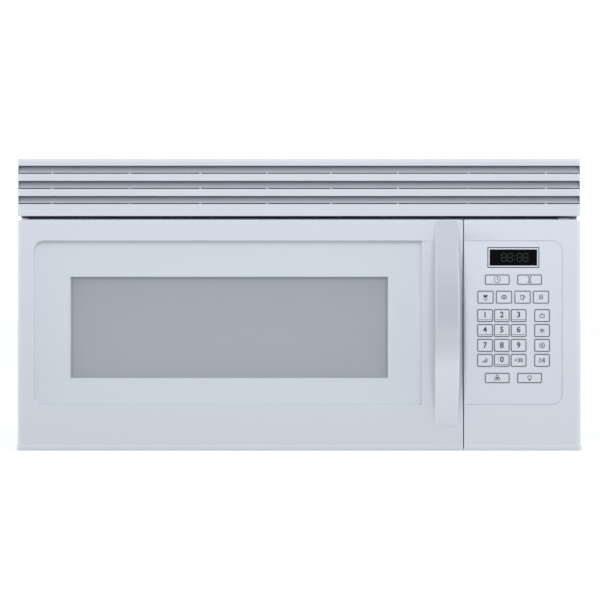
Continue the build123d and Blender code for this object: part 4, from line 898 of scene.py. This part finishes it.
# Pictograms in tenths of a millimetre about the key's centre: bars (x0, z0, x1, z1, width),
# discs (x, z, radius) and rings (x, z, radius, width).
PICTOGRAMS = {
    "key_clock": {"rings": ((0, 0, 42, 7),), "bars": ((0, 0, 0, 26, 7), (0, 0, 20, -8, 7))},
    "key_timer": {"bars": ((-26, 38, 26, 38, 8), (-26, -38, 26, -38, 8), (-22, 36, 22, -36, 8),
                           (22, 36, -22, -36, 8))},
    "key_fan": {"discs": ((0, 0, 9),), "rings": ((0, 24, 17, 8), (-21, -12, 17, 8), (21, -12, 17, 8))},
    "key_light": {"rings": ((0, 8, 24, 8),), "bars": ((-10, -24, 10, -24, 7), (-10, -34, 10, -34, 7))},
    "key_popcorn": {"discs": ((-16, 16, 14), (14, 20, 14), (0, 4, 14)),
                    "bars": ((-22, -4, -15, -40, 7), (22, -4, 15, -40, 7), (-15, -40, 15, -40, 7))},
    "key_potato": {"rings": ((-9, 0, 24, 8), (9, 0, 24, 8)), "discs": ((-12, 6, 5), (10, -6, 5))},
    "key_beverage": {"bars": ((-26, 26, -20, -32, 8), (16, 26, 10, -32, 8), (-20, -32, 10, -32, 8),
                              (-28, 26, 18, 26, 8)), "rings": ((22, 2, 13, 7),)},
    "key_reheat": {"bars": [(x0 + shift, z0, x1 + shift, z1, 8) for shift in (-20, 0, 20)
                            for x0, z0, x1, z1 in WAVE]},
    "key_cook": {"bars": ((-28, 14, 28, 14, 8), (-26, 10, -26, -28, 8), (26, 10, 26, -28, 8),
                          (-28, -28, 28, -28, 8), (-8, 26, 8, 26, 9), (-38, 2, -28, 2, 8),
                          (28, 2, 38, 2, 8))},
    "key_defrost": {"bars": ((0, -36, 0, 36, 8), (-31, -18, 31, 18, 8), (-31, 18, 31, -18, 8))},
    "key_clear": {"rings": ((0, 0, 34, 8),), "bars": ((-15, -15, 15, 15, 8), (-15, 15, 15, -15, 8))},
    "key_power": {"bars": ((-30, -28, -30, -14, 10), (-12, -28, -12, -2, 10), (6, -28, 6, 12, 10),
                           (24, -28, 24, 28, 10))},
    "key_start": {"bars": ((-30, -28, -30, 28, 8), (-30, 28, 6, 0, 8), (6, 0, -30, -28, 8),
                           (18, -28, 18, 28, 9), (32, -28, 32, 28, 9))},
}
TENTH = 0.1 * MM
INK = 0.06 * MM
# How much longer a bar is drawn, in its own widths, so that bars meet at corners.
BAR_OVERLAP = 0.6
# Font size and thickening of the strokes, for each unit of a figure's height.
FONT_SIZE = 1.38
FONT_WEIGHT = 0.028
FIGURE_HEIGHT = 7.8 * MM
SMALL_FIGURE_HEIGHT = 5.2 * MM
FIGURE_LIFT = 0.9 * MM
UNDERLINE_MARGIN = 2.2 * MM
UNDERLINE_LEVEL = 3.0 * MM
UNDERLINE_WIDTH = 0.6 * MM
KEY_CORNER = 1.9 * MM
KEY_MARGIN = 0.2 * MM


def ink_bar(bm, x0, z0, x1, z1, width, y):
    """Printed bar between two points, as a thin block."""
    run = Vector((x1 - x0, z1 - z0))
    made = bmesh.ops.create_cube(bm, size=1.0)["verts"]
    bmesh.ops.scale(bm, vec=(run.length + width * BAR_OVERLAP, INK, width), verts=made)
    turn = Matrix.Rotation(-math.atan2(run.y, run.x), 3, "Y")
    put(bm, made, turn, ((x0 + x1) / 2, y, (z0 + z1) / 2))


def ink_disc(bm, x, z, radius, y):
    made = bmesh.ops.create_cone(bm, cap_ends=True, segments=20, radius1=radius, radius2=radius,
                                 depth=INK)["verts"]
    put(bm, made, TO_FRONT, (x, y, z))


def ink_ring(bm, x, z, radius, width, y):
    """Printed ring: two circles bridged, then given the ink's thickness."""
    outer = circle(bm, 28, radius + width / 2)
    inner = circle(bm, 28, radius - width / 2)
    band = bmesh.ops.bridge_loops(bm, edges=loop_edges(outer) + loop_edges(inner))["faces"]
    put(bm, outer + inner, TO_FRONT, (x, y - INK / 2, z))
    thicken(bm, band, INK)


def ink_text(bm, text, x, z, height, y):
    """Plain figures as thin blocks."""
    curve = bpy.data.curves.new("figures", "FONT")
    curve.body = text
    curve.size = height * FONT_SIZE
    curve.align_x = "CENTER"
    curve.align_y = "CENTER"
    curve.offset = height * FONT_WEIGHT
    curve.extrude = INK / 2
    curve.resolution_u = 4
    holder = linked("figures", curve)
    mesh = bpy.data.meshes.new_from_object(holder.evaluated_get(bpy.context.evaluated_depsgraph_get()))
    mesh.transform(Matrix.Translation((x, y, z)) @ TO_FRONT.to_4x4())
    bm.from_mesh(mesh)
    bpy.data.objects.remove(holder)
    bpy.data.meshes.remove(mesh)
    bpy.data.curves.remove(curve)


def print_on_key(bm, name, low, high):
    """Figure or pictogram of a key, just before its face."""
    x = (low.x + high.x) / 2
    z = (low.z + high.z) / 2
    y = low.y - INK / 2
    sign = PICTOGRAMS.get(name, {})
    for x0, z0, x1, z1, width in sign.get("bars", ()):
        ink_bar(bm, x + x0 * TENTH, z + z0 * TENTH, x + x1 * TENTH, z + z1 * TENTH, width * TENTH, y)
    for across, up, radius in sign.get("discs", ()):
        ink_disc(bm, x + across * TENTH, z + up * TENTH, radius * TENTH, y)
    for across, up, radius, width in sign.get("rings", ()):
        ink_ring(bm, x + across * TENTH, z + up * TENTH, radius * TENTH, width * TENTH, y)
    figure = name.removeprefix("key_")
    if figure.isdigit():
        lift = FIGURE_LIFT if name in UNDERLINED else 0.0
        ink_text(bm, figure, x, z + lift, FIGURE_HEIGHT, y)
    if name == "key_add":
        ink_text(bm, "+30", x, z, SMALL_FIGURE_HEIGHT, y)
    if name in UNDERLINED:
        level = low.z + UNDERLINE_LEVEL
        ink_bar(bm, low.x + UNDERLINE_MARGIN, level, high.x - UNDERLINE_MARGIN, level, UNDERLINE_WIDTH, y)


class MICROWAVE_OT_keypad(bpy.types.Operator):
    """Keys with printed outlines, figures and pictograms"""

    bl_idname = "microwave.keypad"
    bl_label = "Keypad"

    def execute(self, context):
        outline = context.scene.microwave_sizes.outline
        for name in KEYS:
            low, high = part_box(name)
            bm = bmesh.new()
            face = front_outline(bm, low.x, high.x, low.z, high.z, low.y, KEY_CORNER)
            thicken(bm, [face], high.y - low.y)
            outward(bm)
            front = min(bm.faces, key=lambda f: f.calc_center_median().y)
            bmesh.ops.inset_region(bm, faces=[front], thickness=KEY_MARGIN, depth=0.0, use_even_offset=True)
            inner = [f for f in bm.faces if f.normal.y < -0.9 and len(f.verts) > 8]
            band = bmesh.ops.inset_region(bm, faces=inner, thickness=outline, depth=0.0,
                                          use_even_offset=True)["faces"]
            for ring_face in band:
                ring_face.material_index = 1
            plain = set(bm.faces)
            print_on_key(bm, name, low, high)
            for printed in bm.faces:
                if printed not in plain:
                    printed.material_index = 1
            stand_in(name + "_cap", bm, name, ["key_film", "print_ink"], even=False)
        return {"FINISHED"}


class MICROWAVE_OT_display(bpy.types.Operator):
    """Unlit figures of the clock, the dots between them, and a dark frame round the window's flange"""

    bl_idname = "microwave.display"
    bl_label = "Display"

    def execute(self, context):
        height = 10.5 * MM
        width = 6.2 * MM
        stroke = 0.9 * MM
        middle_z = 258.8 * MM
        figure_middles = (0.2745, 0.2830, 0.2955, 0.3040)
        dots_x = 0.28925
        dots_lift = 2.2 * MM
        dots_radius = 0.7 * MM
        low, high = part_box("display_window")
        y = low.y - INK / 2
        bm = bmesh.new()
        for middle_x in figure_middles:
            for level in (-1, 0, 1):
                z = middle_z + level * height / 2
                ink_bar(bm, middle_x - width / 2 + stroke, z, middle_x + width / 2 - stroke, z, stroke, y)
            for side in (-1, 1):
                for level in (-1, 1):
                    x = middle_x + side * width / 2
                    z = middle_z + level * height / 4
                    reach = height / 4 - stroke
                    ink_bar(bm, x, z - reach, x, z + reach, stroke, y)
        for level in (-1, 1):
            ink_disc(bm, dots_x, middle_z + level * dots_lift, dots_radius, y)
        piece("display_digits", bm, "cabinet", ["display_segment"], even=False)
        border = 0.9 * MM
        overlay_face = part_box("keypad_overlay")[0].y
        bm = bmesh.new()
        edge = front_outline(bm, low.x - border, high.x + border, low.z - border, high.z + border,
                             overlay_face - INK, 0.8 * MM)
        band = bmesh.ops.inset_region(bm, faces=[edge], thickness=1.2 * border, depth=0.0,
                                      use_boundary=True, use_even_offset=True)["faces"]
        inner = [face for face in bm.faces if face not in band]
        bmesh.ops.delete(bm, geom=inner, context="FACES")
        thicken(bm, band, INK)
        outward(bm)
        piece("display_border", bm, "cabinet", ["display_lens"], even=False)
        return {"FINISHED"}


# ---- Operators: the other sides ----
def screw(bm, at, normal):
    """Low round head with a cross-shaped driver recess, standing on a surface; the recess is painted black
    as painted shade.
    """
    known = set(bm.verts)
    radius = 4.0 * MM
    height = 0.9 * MM
    arm = 2.1 * MM
    slot = 0.5 * MM
    recess = 0.55 * MM
    cross = bmesh.ops.create_grid(bm, x_segments=3, y_segments=3, size=1.0)["verts"]
    for vert in cross:
        vert.co.x = math.copysign(arm if abs(vert.co.x) > 0.5 else slot, vert.co.x)
        vert.co.y = math.copysign(arm if abs(vert.co.y) > 0.5 else slot, vert.co.y)
    faces = {face for vert in cross for face in vert.link_faces}
    rim = [edge for edge in loop_edges(cross) if edge.is_boundary]
    rings = []
    for reach, level in ((radius * 0.72, 0.0), (radius * 0.93, -height * 0.35), (radius, -height)):
        ring = circle(bm, 12, reach)
        bmesh.ops.translate(bm, vec=(0, 0, level), verts=ring)
        rings.append(loop_edges(ring))
    bridge_all(bm, [rim] + rings)
    driven = [face for face in faces
              if min(abs(face.calc_center_median().x), abs(face.calc_center_median().y)) < slot]
    sunk = moved_verts(bmesh.ops.extrude_face_region(bm, geom=driven))
    bmesh.ops.delete(bm, geom=driven, context="FACES_KEEP_BOUNDARY")
    bmesh.ops.translate(bm, vec=(0, 0, -recess), verts=sunk)
    # Painted shade: the recess faces take the second, black material.
    for face in {face for vert in sunk for face in vert.link_faces}:
        face.material_index = 1
    fresh = [vert for vert in bm.verts if vert not in known]
    bmesh.ops.translate(bm, vec=(0, 0, height), verts=fresh)
    put(bm, fresh, from_upright(normal), at)


class MICROWAVE_OT_screws(bpy.types.Operator):
    """Screws of the case's sides and of the back plate"""

    bl_idname = "microwave.screws"
    bl_label = "Screws"

    def execute(self, context):
        side_depths = (-0.105, 0.035, 0.185)
        side_level = 0.010
        back_places = (-0.305, 0.0, 0.305)
        back_levels = (0.075, 0.317)
        bm = bmesh.new()
        for side in (-1, 1):
            for y in side_depths:
                screw(bm, (side * CASE_SIDE_X, y, side_level), (side, 0, 0))
        for x in back_places:
            for z in back_levels:
                screw(bm, (x, BACK_PANEL_Y, z), (0, 1, 0))
        outward(bm)
        # The second material, black plastic, is painted shade in the screws' recesses.
        piece("case_screws", bm, "cabinet", ["screw_steel", "gland_plastic"])
        return {"FINISHED"}


# Node and edge rounding in millimetres.
SOFTENED = (
    ("outer_case", 0.0), ("back_plate", 0.0), ("base_plate", 0.0), ("cord_gland", 0.5),
    ("keypad_overlay", 0.15), ("display_window", 0.2), ("grease_filters", 0.5), ("lamp_lenses", 0.5),
    ("choke_cover", 0.5), ("latch_lever", 0.4), ("turntable_tray", 1.2), ("drive_coupler", 0.5),
    ("roller_ring", 0.5), ("roller_1", 0.8), ("roller_2", 0.8), ("roller_3", 0.8),
)


class MICROWAVE_OT_softened(bpy.types.Operator):
    """Merged copies of visible parts, with their edges rounded"""

    bl_idname = "microwave.softened"
    bl_label = "Rounded parts"

    def execute(self, context):
        for node, rounding in SOFTENED:
            bm = welded(node)
            if node == "keypad_overlay":
                shift_seam(bm)
            if rounding:
                round_off(bm, sharp_edges(bm), rounding * MM, 2)
            stand_in(node + "_soft", bm, node)
        return {"FINISHED"}


class MICROWAVE_OT_filters(bpy.types.Operator):
    """Crossed wires of the two grease filters"""

    bl_idname = "microwave.filters"
    bl_label = "Grease filters"

    def execute(self, context):
        sizes = context.scene.microwave_sizes
        low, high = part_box("grease_filters")
        margin = 8.0 * MM
        width = 229.0 * MM
        clearance = 0.45 * MM
        y0 = low.y + margin
        y1 = high.y - margin
        lower = low.z + clearance
        upper = lower + 2 * sizes.wire
        bm = bmesh.new()
        for left in (low.x, high.x - width):
            x0 = left + margin
            x1 = left + width - margin
            for step in range(1, int((y1 - y0) / sizes.wire_pitch)):
                y = y0 + step * sizes.wire_pitch
                rod(bm, (x0, y, upper), (x1, y, upper), sizes.wire, 6)
            for step in range(1, int((x1 - x0) / sizes.wire_pitch)):
                x = x0 + step * sizes.wire_pitch
                rod(bm, (x, y0, lower), (x, y1, lower), sizes.wire, 6)
        piece("filter_wires", bm, "cabinet", ["filter_mesh"], even=False)
        return {"FINISHED"}


# ---- Operators: stage ----
STUDIO_TINT = (0.90, 0.94, 1.0)
SOFTBOX_PLACE = Vector((0.1, -2.3, 0.95))
SOFTBOX_SIZE = (1.8, 1.4)
SOFTBOX_POWER = 26.0
WORLD_STRENGTH = 2.9
WORLD_STOPS = (
    # Dim round the camera, soft light on its side, a bright band beside the object, dim light behind it.
    (0.0, 0.105), (0.05, 0.115), (0.11, 0.28), (0.35, 0.33), (0.425, 0.80), (0.5, 1.0), (0.54, 0.75),
    (0.60, 0.42), (0.70, 0.27),
)
# Part of the world's light that is lost straight above and straight below.
LIGHT_LOST_ABOVE = 0.45
LIGHT_LOST_BELOW = 0.65
FLOOR_LEVEL = -0.4 * MM
FLOOR_HALF = 20.0
AIM_LEVEL = 0.2
VIEW_WIDTH = 0.8046
VIEW_DISTANCE = 3.0
VIEW_X = 0.0012
VIEW_Z = 0.2018


class MICROWAVE_OT_stage(bpy.types.Operator):
    """Pale floor, soft light and the camera"""

    bl_idname = "microwave.stage"
    bl_label = "Stage"

    def execute(self, context):
        scene = context.scene
        stage_floor()
        stage_world(scene)
        stage_softbox()
        stage_camera(scene)
        scene.view_settings.view_transform = "Standard"
        return {"FINISHED"}


def stage_softbox():
    """Wide soft light above the camera."""
    lamp = bpy.data.lights.new("softbox", "AREA")
    lamp.shape = "RECTANGLE"
    lamp.size, lamp.size_y = SOFTBOX_SIZE
    lamp.energy = SOFTBOX_POWER
    lamp.color = STUDIO_TINT
    holder = linked("softbox", lamp)
    holder.location = SOFTBOX_PLACE
    aim = Vector((0, FACE_Y, AIM_LEVEL)) - SOFTBOX_PLACE
    holder.rotation_euler = aim.to_track_quat("-Z", "Y").to_euler()
    holder.visible_camera = False
    holder.visible_glossy = False


def stage_floor():
    """Pale floor that carries shadows but throws no light back on the object."""
    bm = bmesh.new()
    bmesh.ops.create_grid(bm, x_segments=8, y_segments=8, size=FLOOR_HALF)
    bmesh.ops.translate(bm, vec=(0, 0, FLOOR_LEVEL), verts=bm.verts)
    floor = object_from("floor", bm, ["floor"])
    floor.visible_diffuse = False
    floor.visible_shadow = False


def stage_world(scene):
    """White as the camera sees it; as light, brightest beside the object, less from above and below."""
    world = bpy.data.worlds.new("studio")
    scene.world = world
    world.use_nodes = True
    tree = world.node_tree
    tree.nodes.clear()
    direction = Signal(tree, tree.nodes.new("ShaderNodeTexCoord").outputs["Generated"])
    depth = direction.axis(1) * 0.5 + 0.5
    stops = [(position, rgba(STUDIO_TINT, strength)) for position, strength in WORLD_STOPS]
    light = depth.node("ShaderNodeValToRGB", {"stops": stops}, {0: depth})
    height = direction.axis(2)
    lost = height.maths("MAXIMUM", height * LIGHT_LOST_ABOVE, height * -LIGHT_LOST_BELOW)
    light = lost.blend(light, (0.0, 0.0, 0.0))
    seen = Signal(tree, tree.nodes.new("ShaderNodeLightPath").outputs["Is Camera Ray"])
    background = seen.node("ShaderNodeBackground", None,
                           {"Color": seen.blend(light, (1.0, 1.0, 1.0)), "Strength": WORLD_STRENGTH})
    surface = tree.nodes.new("ShaderNodeOutputWorld")
    tree.links.new(background.socket, surface.inputs[0])


def stage_camera(scene):
    """Straight view of the front; VIEW_WIDTH is what the picture shows of the fascia's plane."""
    lens = bpy.data.cameras.new("camera")
    lens.sensor_width = 36.0
    lens.lens = lens.sensor_width * VIEW_DISTANCE / VIEW_WIDTH
    lens.clip_start = 0.05
    camera = linked("camera", lens)
    camera.location = (VIEW_X, FACE_Y - VIEW_DISTANCE, VIEW_Z)
    camera.rotation_euler = (math.radians(90), 0, 0)
    scene.camera = camera


OPERATORS = (
    MICROWAVE_OT_finishes,
    MICROWAVE_OT_fascia,
    MICROWAVE_OT_grille,
    MICROWAVE_OT_handle,
    MICROWAVE_OT_screen,
    MICROWAVE_OT_keypad,
    MICROWAVE_OT_display,
    MICROWAVE_OT_screws,
    MICROWAVE_OT_softened,
    MICROWAVE_OT_filters,
    MICROWAVE_OT_stage,
)


class MICROWAVE_PT_builder(bpy.types.Panel):
    """Lists the steps and the values they use"""

    bl_label = "Microwave oven"
    bl_space_type = "VIEW_3D"
    bl_region_type = "UI"
    bl_category = "Microwave"

    def draw(self, context):
        for group in (context.scene.microwave_colours, context.scene.microwave_sizes):
            for name in group.__annotations__:
                self.layout.prop(group, name)
        for step in OPERATORS:
            self.layout.operator(step.bl_idname)


CLASSES = (MicrowaveColours, MicrowaveSizes) + OPERATORS + (MICROWAVE_PT_builder,)


def register():
    for item in CLASSES:
        bpy.utils.register_class(item)
    bpy.types.Scene.microwave_colours = bpy.props.PointerProperty(type=MicrowaveColours)
    bpy.types.Scene.microwave_sizes = bpy.props.PointerProperty(type=MicrowaveSizes)


def unregister():
    del bpy.types.Scene.microwave_sizes
    del bpy.types.Scene.microwave_colours
    for item in reversed(CLASSES):
        bpy.utils.unregister_class(item)


def main():
    register()
    bpy.ops.microwave.finishes()
    bpy.ops.microwave.fascia()
    bpy.ops.microwave.grille()
    bpy.ops.microwave.handle()
    bpy.ops.microwave.screen()
    bpy.ops.microwave.keypad()
    bpy.ops.microwave.display()
    bpy.ops.microwave.screws()
    bpy.ops.microwave.softened()
    bpy.ops.microwave.filters()
    bpy.ops.microwave.stage()


if __name__ == "__main__":
    main()
